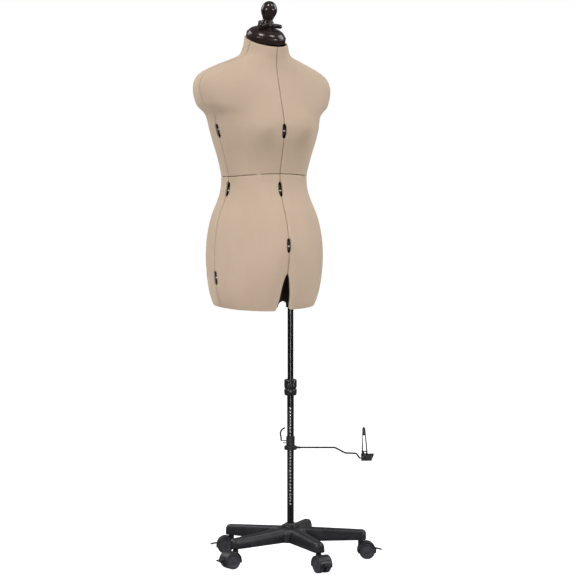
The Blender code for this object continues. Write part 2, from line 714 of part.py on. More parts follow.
def panel_grid(side, front, upper):
    """Rows of (angle, height); the upper panels end in the sloped neck rim."""
    grid = []
    for z in panel_rows(upper):
        angles = [panel_angle(k, z, side, front, upper) for k in range(COLUMNS + 1)]
        grid.append([(angle, level(angle, z, side, upper)) for angle in angles])
    if not upper:
        return grid
    foot = panel_rows(upper)[-1]
    for part in (0.35, 0.7, 1.0):
        row = []
        for k in range(COLUMNS + 1):
            z = foot
            for _ in range(4):
                angle = panel_angle(k, z, side, front, upper)
                rim = neck_rim_z(torso_point(angle, z).y - TORSO_Y)
                z = foot + part * (rim - foot)
            row.append((angle, z))
        grid.append(row)
    return grid


def torso_normal(angle, z):
    around = torso_point(angle + 0.02, z) - torso_point(angle - 0.02, z)
    upward = torso_point(angle, z + 0.002) - torso_point(angle, z - 0.002)
    return around.cross(upward).normalized()


def make_panel(name, side, front, upper, mat):
    """One fabric-covered shell; side is +1 for the form's left, -1 for its right."""
    grid = panel_grid(side, front, upper)
    places = [place for row in grid for place in row]
    outer = [torso_point(*place) for place in places]
    inner = [point - torso_normal(*place) * SHELL for point, place in zip(outer, places)]
    shift = len(outer)
    width = COLUMNS + 1
    faces = []
    for i in range(len(grid) - 1):
        for k in range(COLUMNS):
            a = i * width + k
            face = (a, a + 1, a + width + 1, a + width)
            faces.append(face)
            faces.append(tuple(v + shift for v in reversed(face)))
    top = (len(grid) - 1) * width
    rim = list(range(COLUMNS)) + [i * width + COLUMNS for i in range(len(grid) - 1)]
    rim += [top + k for k in range(COLUMNS, 0, -1)] + [i * width for i in range(len(grid) - 1, 0, -1)]
    for start, end in zip(rim, rim[1:] + rim[:1]):
        faces.append((end, start, start + shift, end + shift))
    mesh = bpy.data.meshes.new(name)
    mesh.from_pydata(outer + inner, [], faces)
    if (side > 0) != front:
        mesh.flip_normals()
    add_object(name, mesh, mat)
    smooth(mesh, 40)


def make_panels(mat):
    for upper in (False, True):
        for front in (True, False):
            for side in (-1, 1):
                name = "{}_{}_{}_panel".format("upper" if upper else "lower",
                                               "front" if front else "back",
                                               "left" if side > 0 else "right")
                make_panel(name, side, front, upper, mat)


# ---- size dials -------------------------------------------------------------

def dial_mesh():
    """Knurled wheel about X, with its threaded rod."""
    teeth = fluted_outline(DIAL_RADIUS, 0.0014, 12, 0.003, 6)[:1]
    mesh = outline_mesh(teeth, DIAL_HALF_WIDTH)
    mesh.transform(Matrix.Rotation(math.pi / 2, 4, 'Y'))
    return mesh


def seam_place(seam, z):
    """Angle of one of the four upright seams at a height."""
    if seam == "front":
        return 0.0
    if seam == "back":
        return math.pi
    _, front, _, middle, roundness = station(z)
    angle = math.pi / 2 - seam_angle(SEAM_FORWARD, front + middle, roundness)
    return angle if seam == "left" else -angle


def make_dial(name, angle, z, mat):
    surface = torso_point(angle, z)
    above = torso_point(angle, z + 0.01)
    below = torso_point(angle, z - 0.01)
    beside = torso_point(angle + 0.02, z)
    tangent = (beside - surface).normalized()
    if abs(tangent.x) > abs(tangent.y):
        tangent = Vector((math.copysign(1.0, tangent.x), 0, 0))
    else:
        tangent = Vector((0, math.copysign(1.0, tangent.y), 0))
    up = (above - below).normalized()
    outward = tangent.cross(up).normalized()
    centre = surface - outward * (DIAL_RADIUS + DIAL_RECESS)
    turn = Matrix((tangent, -outward, up)).transposed()
    dial = add_object(name, dial_mesh(), mat, centre, turn.to_euler())
    rod = cylinder_mesh(0.0030, 0.0520, 8, (0, 0, 0), 'X')
    boolean(dial, add_cutter(name + "_rod", rod, centre, turn.to_euler()), 'UNION')
    return dial


def make_dials(mat):
    for seam in ("front", "left", "back", "right"):
        hip_z = HIP_SIDE_DIAL_Z if seam in ("left", "right") else HIP_DIAL_Z
        for girth, z in (("bust", BUST_DIAL_Z), ("waist", WAIST_DIAL_Z), ("hip", hip_z)):
            make_dial(f"{girth}_dial_{seam}", seam_place(seam, z), z, mat)


# ---- inner frames -----------------------------------------------------------

def cross_outline(reach_x, reach_y, root, tip):
    """Four arms that taper from the root's half width to the tip's."""
    return [(-reach_x, -tip), (-root, -root), (-tip, -reach_y), (tip, -reach_y),
            (root, -root), (reach_x, -tip), (reach_x, tip), (root, root),
            (tip, reach_y), (-tip, reach_y), (-root, root), (-reach_x, tip)]


def make_lower_frame(mat):
    """Pole socket, arched web behind the notch, cross plate and middle post."""
    at = (TORSO_X, TORSO_Y, 0)
    socket_x = POLE_X - TORSO_X
    socket_y = POLE_Y - TORSO_Y
    cross = outline_mesh([cross_outline(0.130, 0.085, 0.018, 0.009)], 0.004)
    cross.transform(Matrix.Translation((0, 0, 1.030)))
    frame = add_object("lower_frame", cross, mat, at)

    web_outline = [(-0.052, 0.920), (-0.052, 0.7660)]
    web_outline += arc((0.012, 0.7660), 0.018, 180, 0, 8)
    web_outline += [(0.058, 0.7660), (0.058, 0.920)]
    web = outline_mesh([web_outline], 0.0025)
    web.transform(Matrix.Translation((0, socket_y, 0)) @ Matrix.Rotation(math.pi / 2, 4, 'X'))
    boolean(frame, add_cutter("frame_web", web, at), 'UNION')

    sleeve = cylinder_mesh(0.0140, 0.2730, 24, (socket_x, socket_y, 0.9015))
    boolean(frame, add_cutter("frame_socket", sleeve, at), 'UNION')
    bridge = box_mesh((socket_x + 0.010, -socket_y + 0.010, 0.0070),
                      (socket_x / 2, socket_y / 2, 1.0300))
    boolean(frame, add_cutter("frame_bridge", bridge, at), 'UNION')
    post = cylinder_mesh(0.0100, 0.3600, 20, (0, 0, 1.0300 + 0.1750))
    boolean(frame, add_cutter("frame_post", post, at), 'UNION')
    bore = cylinder_mesh(UPPER_TUBE_R + 0.0003, 0.300, 28,
                         (socket_x, socket_y, UPPER_TUBE_TOP + GAP - 0.150))
    boolean(frame, add_cutter("socket_bore", bore, at))
    return frame


def make_upper_frame(mat):
    """Sleeve that slides on the middle post, with a cross plate and a neck stud."""
    at = (TORSO_X, TORSO_Y, 0)
    cross = outline_mesh([cross_outline(0.118, 0.070, 0.018, 0.009)], 0.004)
    cross.transform(Matrix.Translation((0, 0, 1.2400)))
    frame = add_object("upper_frame", cross, mat, at)
    sleeve = cylinder_mesh(0.0150, 0.3150, 24, (0, 0, 1.3575))
    boolean(frame, add_cutter("upper_sleeve", sleeve, at), 'UNION')
    bore = cylinder_mesh(0.0104, 0.2600, 20, (0, 0, 1.3100))
    boolean(frame, add_cutter("upper_bore", bore, at))
    return frame


# ---- neck -------------------------------------------------------------------

def neck_place():
    return (TORSO_X, TORSO_Y + NECK_CENTRE[0], NECK_CENTRE[1]), (NECK_TILT, 0, 0)


def knob_place():
    return (TORSO_X, TORSO_Y + KNOB_BASE[0], KNOB_BASE[1]), (KNOB_TILT, 0, 0)


def make_neck_cap(mat):
    """Domed cap with a low band round its rim and a boss under the adjuster."""
    location, rotation = neck_place()
    profile = [(0.0, 0.0365), (0.0280, 0.0365), (0.0390, 0.0345), (0.0480, 0.0300),
               (0.0545, 0.0235), (0.0578, 0.0180), (0.0598, 0.0165), (0.0602, 0.0120),
               (0.0600, 0.0016), (0.0490, 0.0016), (0.0490, -0.0080), (0.0, -0.0080)]
    cap = turned("neck_cap", profile, mat, 28, False, location, rotation)
    place, turn = knob_place()
    bottom = 0.0200
    boss = cylinder_mesh(0.0235, ADJUSTER_BOTTOM - GAP - bottom, 24,
                         (0, 0, (ADJUSTER_BOTTOM - GAP + bottom) / 2))
    boolean(cap, add_cutter("cap_boss", boss, place, turn), 'UNION')
    return cap


def make_neck_adjuster(mat):
    """Three-lobed nut on the cap's boss, with a collar under the finial."""
    location, rotation = knob_place()
    outline = []
    for lobe in range(3):
        turn = math.degrees(-VIEW_TURN) + lobe * 120
        angle = math.radians(turn)
        tip = (0.0350 * math.cos(angle), 0.0350 * math.sin(angle))
        outline += arc(tip, 0.0105, turn - 80, turn + 80, 5)
        outline += arc((0, 0), 0.0220, turn + 45, turn + 75, 2)
    half = (ADJUSTER_TOP - ADJUSTER_BOTTOM) / 2
    mesh = outline_mesh([outline], half)
    mesh.transform(Matrix.Translation((0, 0, ADJUSTER_BOTTOM + half)))
    nut = add_object("neck_adjuster", mesh, mat, location, rotation)
    bevel(nut, 0.0030, 2, 50)
    top = FINIAL_BOTTOM - GAP
    bottom = ADJUSTER_BOTTOM + 0.0020
    collar = cylinder_mesh(0.0185, top - bottom, 24, (0, 0, (top + bottom) / 2))
    boolean(nut, add_cutter("adjuster_collar", collar, location, rotation), 'UNION')
    return nut


def make_finial(mat):
    """Pear-shaped knob."""
    location, rotation = knob_place()
    profile = [(0.0, 0.1207), (0.0070, 0.1198), (0.0140, 0.1158), (0.0200, 0.1085),
               (0.0238, 0.1000), (0.0245, 0.0925), (0.0232, 0.0850), (0.0200, 0.0770),
               (0.0168, 0.0700), (0.0147, 0.0650), (0.0145, FINIAL_BOTTOM), (0.0, FINIAL_BOTTOM)]
    return turned("finial_knob", profile, mat, 24, False, location, rotation)


# ---- the whole object -------------------------------------------------------

def main():
    global PARTS, CUTTERS
    clear_scene()
    PARTS = make_collection(FORM_NAME)
    CUTTERS = make_collection("cutters")

    base_plastic = material("base_plastic", (0.035, 0.036, 0.040), 0.55)
    caster_plastic = material("caster_plastic", (0.040, 0.040, 0.045), 0.50)
    wheel_plastic = material("wheel_plastic", (0.055, 0.055, 0.062), 0.55)
    black_paint = material("black_paint", (0.010, 0.010, 0.011), 0.22)
    black_plastic = material("black_plastic", (0.014, 0.014, 0.015), 0.45)
    steel = material("zinc_steel", (0.55, 0.55, 0.54), 0.35, 1.0)
    marker_metal = material("marker_metal", (0.030, 0.030, 0.032), 0.40)
    brown_gloss = material("brown_gloss", (0.020, 0.011, 0.010), 0.12)
    brown_plastic = material("brown_plastic", (0.022, 0.015, 0.012), 0.50)
    jersey = material("beige_jersey", (0.560, 0.440, 0.330), 0.90)

    make_star_base(base_plastic)
    make_hub_collar(black_plastic)
    make_casters(caster_plastic, wheel_plastic, steel)
    make_pole(black_paint, black_plastic)
    make_marker_sleeve(marker_metal)
    make_marker_lever(marker_metal)
    make_marker_arm(marker_metal)
    make_marker_tray(marker_metal)
    make_marker_clip(marker_metal)
    make_lower_frame(brown_plastic)
    make_upper_frame(brown_plastic)
    make_panels(jersey)
    make_dials(black_plastic)
    make_neck_cap(brown_gloss)
    make_neck_adjuster(brown_gloss)
    make_finial(brown_gloss)


main()
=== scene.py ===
"""Looks of the adjustable dress form: jersey panels, mouldings, metal and a studio."""

import json
from math import (asin, atan2, copysign, cos, degrees, exp, hypot, pi, radians,
                  sin, sqrt, tan, tanh)

import bmesh
import bpy
from mathutils import Matrix, Vector


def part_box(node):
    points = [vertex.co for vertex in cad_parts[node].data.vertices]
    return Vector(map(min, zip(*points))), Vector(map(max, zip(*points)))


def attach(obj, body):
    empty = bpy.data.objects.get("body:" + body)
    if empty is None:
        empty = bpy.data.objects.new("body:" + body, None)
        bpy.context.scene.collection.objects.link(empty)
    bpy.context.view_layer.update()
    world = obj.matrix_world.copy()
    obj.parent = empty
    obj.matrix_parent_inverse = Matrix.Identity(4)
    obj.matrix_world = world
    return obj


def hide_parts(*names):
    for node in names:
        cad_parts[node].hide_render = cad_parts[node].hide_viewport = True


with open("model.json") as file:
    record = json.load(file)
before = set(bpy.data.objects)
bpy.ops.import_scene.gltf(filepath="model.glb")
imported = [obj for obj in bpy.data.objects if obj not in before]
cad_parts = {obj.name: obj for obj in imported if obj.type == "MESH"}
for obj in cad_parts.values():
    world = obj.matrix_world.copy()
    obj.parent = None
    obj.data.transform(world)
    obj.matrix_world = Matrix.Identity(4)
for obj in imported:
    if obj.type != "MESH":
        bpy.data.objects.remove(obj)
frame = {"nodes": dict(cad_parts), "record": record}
SCENE = bpy.context.scene
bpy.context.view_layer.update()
NODES = frame["nodes"]
RECORD = frame["record"]
SLOT_OF = {part["node"]: part["material_slot"] for part in RECORD["subparts"]}
BODY_OF = {node: body for body, nodes in RECORD["behaviour"]["bodies"].items() for node in nodes}

# ---- places read from the frame ----
TUBE_LO, TUBE_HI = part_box("lower_tube")
TUBE_RADIUS = (TUBE_HI.x - TUBE_LO.x) / 2
POLE = Vector(((TUBE_LO.x + TUBE_HI.x) / 2, (TUBE_LO.y + TUBE_HI.y) / 2, 0))
TORSO = POLE + Vector((-0.0405, 0.0825, 0))

# ---- viewing direction ----
VIEW_TURN = radians(33.0)
VIEW_RIGHT = Vector((cos(VIEW_TURN), -sin(VIEW_TURN), 0))
VIEW_TOWARD = Vector((-sin(VIEW_TURN), -cos(VIEW_TURN), 0))
UP = Vector((0, 0, 1))

# ---- torso, the same surface as the frame's panels ----
SPLIT_Z = 1.161
SPLIT_WAVE = 0.0045
SPLIT_BLEND_LOW = 1.1425
SPLIT_BLEND_HIGH = 1.225
HEM_Z = 0.7545
HEM_RISE = 0.0125
HEM_LEFT_RISE = 0.0035
HEM_BLEND_Z = 0.831
NECK_TILT = radians(20.0)
NECK_CENTRE = (-0.006, 1.5685)  # y from the torso's middle, z
KNOB_TILT = radians(15.0)
KNOB_BASE = (-0.0027, 1.5661)  # y from the torso's middle, z
SLOT_HALF_HEIGHT = 0.0225
SLOT_HALF_WIDTH = 0.0073
BUST_DIAL_Z = 1.292
WAIST_DIAL_Z = 1.12
HIP_DIAL_Z = 0.952
HIP_SIDE_DIAL_Z = 0.855
NOTCH_TOP_Z = 0.867
NOTCH_HALF_WIDTH = 0.0217
NOTCH_POWER = 0.49
NOTCH_LIP = 0.008
BACK_NOTCH_TOP_Z = 0.795

# millimetres: z, half width, front depth, back depth, y of the widest point; roundness
STATIONS_MM = (
    (740, 137, 95, 92, 0, 0.95), (757, 154.5, 106, 104, 0, 0.95),
    (783, 168.5, 118, 116, 0, 0.95), (831, 181, 130, 127, 0, 0.95),
    (900, 187, 140, 134, 0, 0.95), (960, 185.5, 138.5, 133, 0, 0.95),
    (1012, 178, 128, 123, 0, 0.95), (1048, 168, 116, 113, 0, 0.95),
    (1084, 152.5, 102, 103, 0, 0.95), (1120, 141.5, 92, 96, 0, 0.95),
    (1160, 139.5, 88, 95, 0, 0.95), (1193, 146, 93, 98, 0, 0.95),
    (1229, 156, 101, 104, 0, 0.95), (1265, 168, 109, 111, 0, 0.95),
    (1301, 178.5, 112, 117, 0, 0.94), (1325, 184, 110, 119, 2, 0.92),
    (1349, 199, 105, 119, 5, 0.88), (1373, 218, 99, 118, 8, 0.84),
    (1422, 231, 86, 108, 10, 0.82), (1458, 218, 76, 95, 10, 0.84),
    (1482, 177, 71.5, 86, 8, 0.9), (1506, 115, 70, 74, 3, 0.97), (1520, 83, 71.5, 66, 0, 1),
    (1540, 71, 73, 60, -3, 1), (1570, 64, 74, 57, -6, 1), (1610, 62, 75, 56, -8, 1),
)
STATIONS = [(*(value / 1000 for value in row[:5]), row[5]) for row in STATIONS_MM]

ARMPIT_Z = 1.345              # the fold under each arm stump
ARMPIT_DEPTH = 0.011
ARMPIT_SPREAD = 0.014
ARMPIT_POWER = 6              # keeps the fold at the side
# rises and grooves: depth, x, spread in x, z, spread in z
BUST = (0.024, 0.08, 0.047, 1.298, 0.05)
SEAT = (0.01, 0.075, 0.05, 0.905, 0.07)
# grooves at the centre seams: depth, spread in x, z where they start, how soon they are full
FRONT_GROOVE = (0.01, 0.03, 0.95, 0.12)
BACK_GROOVE = (0.01, 0.025, 1.0, 0.12)
SEAM_HALF = 0.0006
SEAM_FORWARD = 0.016          # side seams lie this far in front of the widest point
FABRIC_OUT = 0.0006           # jersey stands this far outside the CAD shell
PANEL_THICK = 0.006
EDGE_ROLL = 0.0032            # how far the jersey rolls over a panel's edge


def clamp(value):
    return min(max(value, 0.0), 1.0)


def bump(value, centre, width):
    return exp(-((value - centre) / width) ** 2)


def hermite(t, a, slope_a, b, slope_b):
    """A smooth step from a to b, for numbers or vectors, with a slope at each end."""
    return ((2 * t**3 - 3 * t**2 + 1) * a + (t**3 - 2 * t**2 + t) * slope_a
            + (3 * t**2 - 2 * t**3) * b + (t**3 - t**2) * slope_b)


def station(z):
    """Section values at a height, on a smooth curve through the stations."""
    last = len(STATIONS) - 1
    index = 0
    while index < last - 1 and z > STATIONS[index + 1][0]:
        index += 1
    p0, p1, p2, p3 = (STATIONS[min(max(index + k, 0), last)] for k in (-1, 0, 1, 2))
    span = p2[0] - p1[0]
    t = clamp((z - p1[0]) / span)
    values = []
    for k in range(1, 6):
        slope1 = (p2[k] - p0[k]) / (p2[0] - p0[0]) * span
        slope2 = (p3[k] - p1[k]) / (p3[0] - p1[0]) * span
        values.append(hermite(t, p1[k], slope1, p2[k], slope2))
    return values


def swell(x, z, form):
    height, centre_x, spread_x, centre_z, spread_z = form
    return height * bump(x, centre_x, spread_x) * bump(z, centre_z, spread_z)


def groove(x, z, form):
    depth, spread, start, run = form
    return depth * bump(x, 0.0, spread) * clamp((start - z) / run)


def torso_point(angle, z):
    """Point on the torso: angle 0 is centre front, a quarter turn is its left side."""
    half, front, back, middle, roundness = station(z)
    s, c = sin(angle), cos(angle)
    half -= ARMPIT_DEPTH * bump(z, ARMPIT_Z, ARMPIT_SPREAD) * abs(s) ** ARMPIT_POWER
    x = copysign(half * abs(s) ** roundness, s)
    if c >= 0:
        y = middle - (front + middle) * abs(c) ** roundness
        y += groove(x, z, FRONT_GROOVE) - swell(abs(x), z, BUST) * c
    else:
        y = middle + (back - middle) * abs(c) ** roundness
        y += swell(abs(x), z, SEAT) - groove(x, z, BACK_GROOVE)
    return Vector((TORSO.x + x, TORSO.y + y, z))


def torso_normal(angle, z):
    around = torso_point(angle + 0.02, z) - torso_point(angle - 0.02, z)
    upward = torso_point(angle, z + 0.002) - torso_point(angle, z - 0.002)
    return around.cross(upward).normalized()


def slot_opening(z, dial_heights):
    """Half opening of a seam at a height: the seam line, wider at each dial slot."""
    opening = SEAM_HALF
    for dial_z in dial_heights:
        part = abs(z - dial_z) / SLOT_HALF_HEIGHT
        if part < 1.0:
            opening = max(opening, SLOT_HALF_WIDTH * sqrt(1.0 - part ** 4))
    return opening


def notch_opening(z, top):
    """Half opening of the thigh notch, an arch that widens to a rounded lip."""
    if z >= top:
        return 0.0
    opening = NOTCH_HALF_WIDTH * min((top - z) / (top - HEM_Z), 1.0) ** NOTCH_POWER
    above = max(z - HEM_Z, 0.0)
    if above < NOTCH_LIP:
        opening += NOTCH_LIP - sqrt(NOTCH_LIP ** 2 - (NOTCH_LIP - above) ** 2)
    return opening


def true_height(angle, z, side, upper):
    """A row's true height: the waist split waves and the hem rises to the sides."""
    wave = SPLIT_WAVE * cos(2 * angle)
    if upper:
        return z + wave * clamp((SPLIT_BLEND_HIGH - z) / (SPLIT_BLEND_HIGH - SPLIT_Z))
    rise = HEM_RISE * (1 - cos(angle)) + (HEM_LEFT_RISE if side > 0 else 0.0)
    near_split = clamp((z - SPLIT_BLEND_LOW) / (SPLIT_Z - SPLIT_BLEND_LOW))
    near_hem = clamp((HEM_BLEND_Z - z) / (HEM_BLEND_Z - HEM_Z))
    return z + wave * near_split + rise * near_hem


def seam_angle(opening, extent, roundness):
    return asin(min((opening / extent) ** (1.0 / roundness), 1.0))


def panel_edges(z, front, upper):
    """Angles of a panel's two edges, from its centre seam round to its side seam."""
    half, front_depth, _, middle, roundness = station(z)
    if upper:
        centre_dials = side_dials = (BUST_DIAL_Z,)
    else:
        centre_dials = (WAIST_DIAL_Z, HIP_DIAL_Z)
        side_dials = (WAIST_DIAL_Z, HIP_SIDE_DIAL_Z)
    centre_open = slot_opening(z, centre_dials)
    if not upper:
        top = NOTCH_TOP_Z if front else BACK_NOTCH_TOP_Z
        centre_open = max(centre_open, notch_opening(z, top))
    depth = front_depth + middle
    centre = seam_angle(centre_open, half, roundness)
    gap = slot_opening(z, side_dials)
    if front:
        return centre, pi / 2 - seam_angle(SEAM_FORWARD + gap, depth, roundness)
    return centre, pi / 2 + seam_angle(SEAM_FORWARD - gap, depth, roundness)


def neck_rim_z(y):
    """Height of the sloped neck rim at a depth from the torso's middle."""
    return NECK_CENTRE[1] + (y - NECK_CENTRE[0]) * tan(NECK_TILT)


# ---- node helpers ----

class Shader:
    """A material's node tree, with short calls for the nodes used here."""

    def __init__(self, name, color, roughness, **constants):
        self.mat = bpy.data.materials.new(name)
        self.mat.use_nodes = True
        self.tree = self.mat.node_tree
        self.bsdf = self.tree.nodes["Principled BSDF"]
        self.feed(Base_Color=(*color, 1.0), Roughness=roughness, **constants)

    def fill(self, node, values):
        """Set a node's inputs and settings; another node's output is linked in."""
        for key, value in values.items():
            label = key.replace("_", " ")
            if isinstance(value, bpy.types.NodeSocket):
                self.tree.links.new(value, node.inputs[label])
            elif label in node.inputs:
                node.inputs[label].default_value = value
            else:
                setattr(node, key, value)
        return node

    def node(self, kind, **values):
        return self.fill(self.tree.nodes.new("ShaderNode" + kind), values)

    def feed(self, **values):
        """Set or drive the surface's own inputs."""
        self.fill(self.bsdf, values)

    def coords(self, scale=(1, 1, 1)):
        source = self.node("TexCoord").outputs["Object"]
        return self.node("Mapping", Vector=source, Scale=scale).outputs["Vector"]

    def noise(self, vector, scale, detail, roughness):
        return self.node("TexNoise", Vector=vector, Scale=scale, Detail=detail,
                         Roughness=roughness).outputs["Fac"]

    def ramp(self, value, *stops):
        made = self.node("ValToRGB", Fac=value)
        elements = made.color_ramp.elements
        while len(elements) < len(stops):
            elements.new(0.5)
        for element, (position, color) in zip(elements, stops):
            element.position = position
            element.color = (*color, 1.0)
        return made.outputs["Color"]

    def map_range(self, value, low, high, from_low=0.0, from_high=1.0):
        return self.node("MapRange", Value=value, From_Min=from_low, From_Max=from_high,
                         To_Min=low, To_Max=high).outputs["Result"]

    def math(self, operation, *values):
        made = self.node("Math", operation=operation)
        for socket, value in zip(made.inputs, values):
            if isinstance(value, float):
                socket.default_value = value
            else:
                self.tree.links.new(value, socket)
        return made.outputs["Value"]

    def mixed(self, a, share_a, b, share_b):
        """Two patterns added, each by its share."""
        return self.math('ADD', self.math('MULTIPLY', a, share_a),
                         self.math('MULTIPLY', b, share_b))

    def relief(self, height, distance, strength):
        bump_node = self.node("Bump", Height=height, Strength=strength, Distance=distance)
        self.feed(Normal=bump_node.outputs["Normal"])


# ---- materials: lengths in metres, noise scales per metre ----

WALE_TURNS = 3300.0           # radians per metre along a row of stitches
COURSE_TURNS = 4200.0         # radians per metre up a column of stitches
FUZZ_SCALE = 900.0
PLASTIC_GRAIN_SCALE = 1400.0
PLASTIC_FLOW_SCALE = 22.0
GRAIN = 0.00012               # depth of a moulding's spark-eroded grain
POLISHED = 0.00001
JERSEY_TONES = ((0.3, (0.53, 0.402, 0.293)), (0.52, (0.605, 0.467, 0.348)),
                (0.72, (0.66, 0.518, 0.396)))
ZINC_TONES = ((0.3, (0.42, 0.42, 0.4)), (0.7, (0.62, 0.62, 0.6)))
PRINT_TONES = ((0.28, (0.4, 0.4, 0.39)), (0.42, (0.82, 0.82, 0.8)))
# dark tone, light tone, roughness, depth of the grain
PLASTICS = {
    "base_plastic": ((0.012, 0.012, 0.015), (0.026, 0.026, 0.03), 0.32, GRAIN),
    "caster_plastic": ((0.014, 0.014, 0.018), (0.028, 0.028, 0.034), 0.38, GRAIN),
    "wheel_plastic": ((0.04, 0.04, 0.052), (0.064, 0.064, 0.08), 0.44, GRAIN),
    "black_plastic": ((0.008, 0.008, 0.009), (0.018, 0.018, 0.02), 0.4, GRAIN),
    "brown_plastic": ((0.016, 0.01, 0.008), (0.03, 0.02, 0.016), 0.55, GRAIN),
    "brown_gloss": ((0.02, 0.012, 0.011), (0.03, 0.018, 0.016), 0.16, POLISHED),
    "nut_plastic": ((0.012, 0.012, 0.013), (0.024, 0.024, 0.026), 0.22, GRAIN),
}

def jersey_material():
    """Beige single jersey over foam: fine wales, soft pile, slight tone drift."""
    m = Shader("beige_jersey", (0.6, 0.46, 0.34), 0.92, Sheen_Weight=0.3, Sheen_Roughness=0.45,
               Sheen_Tint=(0.95, 0.86, 0.76, 1.0), Specular_IOR_Level=0.2)
    weave = m.node("Mapping", Vector=m.node("UVMap", uv_map="weave").outputs["UV"])
    split = m.node("SeparateXYZ", Vector=weave.outputs["Vector"])

    def wave(axis, turns):
        return m.math('ABSOLUTE', m.math('SINE', m.math('MULTIPLY', split.outputs[axis], turns)))

    courses = m.math('ADD', m.math('MULTIPLY', wave("Y", COURSE_TURNS), 0.4), 0.6)
    knit = m.math('MULTIPLY', wave("X", WALE_TURNS), courses)
    fuzz = m.noise(m.coords(), FUZZ_SCALE, 3.0, 0.7)
    drift = m.noise(m.coords(), 5.0, 3.0, 0.5)
    m.feed(Base_Color=m.ramp(m.mixed(drift, 0.55, fuzz, 0.45), *JERSEY_TONES),
           Roughness=m.map_range(fuzz, 0.82, 0.98))
    m.relief(m.mixed(knit, 0.7, fuzz, 0.5), 0.00022, 0.55)
    return m.mat


def plastic_material(name, dark, light, roughness, grain):
    """Moulded plastic with spark-eroded grain, faint flow marks and a worn tone."""
    m = Shader(name, dark, roughness)
    where = m.coords()
    fine = m.noise(where, PLASTIC_GRAIN_SCALE, 3.0, 0.6)
    broad = m.noise(where, PLASTIC_FLOW_SCALE, 4.0, 0.6)
    m.feed(Base_Color=m.ramp(m.mixed(broad, 0.75, fine, 0.25), (0.35, dark), (0.7, light)),
           Roughness=m.map_range(broad, roughness - 0.07, roughness + 0.09, 0.3, 0.7))
    m.relief(fine, grain, 0.5)
    return m.mat


def worn_material(name, scale, detail, stops, rough, span=(0.0, 1.0), stretch=1.0, metallic=0.0):
    """Paint, plate or print: one fine pattern gives both its tone and its gloss."""
    m = Shader(name, stops[0][1], rough[0], Metallic=metallic)
    pattern = m.noise(m.coords((1, 1, stretch)), scale, detail, 0.6)
    m.feed(Base_Color=m.ramp(pattern, *stops), Roughness=m.map_range(pattern, *rough, *span))
    return m


def paint_material(name, color, roughness):
    """Powder coat: orange-peel relief and fine rubbed streaks along the tube."""
    lighter = tuple(c * 2.2 + 0.002 for c in color)
    m = worn_material(name, 300.0, 3.0, ((0.45, color), (0.85, lighter)),
                      (roughness - 0.04, roughness + 0.1), (0.3, 0.8), stretch=0.06)
    m.relief(m.noise(m.coords(), 420.0, 2.0, 0.5), 0.00008, 0.4)
    return m.mat


def floor_material():
    """White paper floor, lit up for the camera as an overexposed studio sweep is."""
    m = Shader("pale_floor", (0.66, 0.66, 0.66), 0.7, Emission_Color=(1.0, 1.0, 1.0, 1.0))
    tone = m.noise(m.coords(), 1.5, 2.0, 0.4)
    path = m.node("LightPath").outputs
    mirrored = m.node("Mix", data_type='RGBA')
    factor, paper, in_gloss = (mirrored.inputs[i] for i in (0, 6, 7))
    m.tree.links.new(path["Is Glossy Ray"], factor)
    m.tree.links.new(m.ramp(tone, (0.3, (0.65, 0.65, 0.65)), (0.7, (0.67, 0.67, 0.67))), paper)
    in_gloss.default_value = (0.12, 0.12, 0.12, 1.0)
    m.feed(Base_Color=mirrored.outputs[2],
           Emission_Strength=m.math('MULTIPLY', path["Is Camera Ray"], FLOOR_GLOW))
    return m.mat


def make_materials():
    mats = {name: plastic_material(name, *values) for name, values in PLASTICS.items()}
    mats["jersey"] = jersey_material()
    mats["black_paint"] = paint_material("black_paint", (0.004, 0.004, 0.0045), 0.16)
    mats["marker_metal"] = paint_material("marker_metal", (0.014, 0.014, 0.015), 0.34)
    mats["zinc_steel"] = worn_material("zinc_steel", 260.0, 4.0, ZINC_TONES, (0.26, 0.46),
                                       metallic=1.0).mat
    mats["white_print"] = worn_material("white_print", 700.0, 3.0, PRINT_TONES, (0.45, 0.7)).mat
    return mats


# ---- object helpers ----

WELD_DISTANCE = 0.00001
CORNER_ANGLE = radians(36)    # a CAD node's edges sharper than this stay hard


def configure(target, **values):
    for key, value in values.items():
        setattr(target, key, value)
    return target


def shift(x=0.0, y=0.0, z=0.0):
    return Matrix.Translation((x, y, z))


def turned(angle, axis='Z'):
    return Matrix.Rotation(angle, 4, axis)


AT_POLE = Matrix.Translation(POLE)
SIDEWAYS = turned(pi / 2, 'X')  # lays an upright axis along Y


def new_object(name, data):
    obj = bpy.data.objects.new(name, data)
    SCENE.collection.objects.link(obj)
    return obj


def loose(data):
    """A scratch object, in no collection yet."""
    return bpy.data.objects.new("scratch", data)


def add_mesh(name, mesh, mats):
    mesh.name = name
    for mat in mats:
        mesh.materials.append(mat)
    return new_object(name, mesh)


def middle_of(node):
    low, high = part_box(node)
    return (low + high) / 2


def smooth_node(obj, mat):
    """A CAD node keeps its mesh; it gets smooth shading with hard corners kept."""
    obj.data.materials.clear()
    obj.data.materials.append(mat)
    for polygon in obj.data.polygons:
        polygon.use_smooth = True
        polygon.material_index = 0
    obj.modifiers.new("weld", 'WELD').merge_threshold = WELD_DISTANCE
    obj.modifiers.new("corners", 'EDGE_SPLIT').split_angle = CORNER_ANGLE


def stand_in(name, mesh, node, *mats):
    """A fine piece that takes a CAD node's place on its body."""
    obj = add_mesh(name, mesh, mats)
    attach(obj, BODY_OF[node])
    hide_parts(node)


def mm(*points):
    """Points given in millimetres."""
    return [tuple(value / 1000 for value in point) for point in points]


def arc(centre, radius, start, end, steps):
    """Points along an arc, angles in degrees, both ends included."""
    points = []
    for i in range(steps + 1):
        angle = radians(start + (end - start) * i / steps)
        points.append((centre[0] + radius * cos(angle), centre[1] + radius * sin(angle)))
    return points


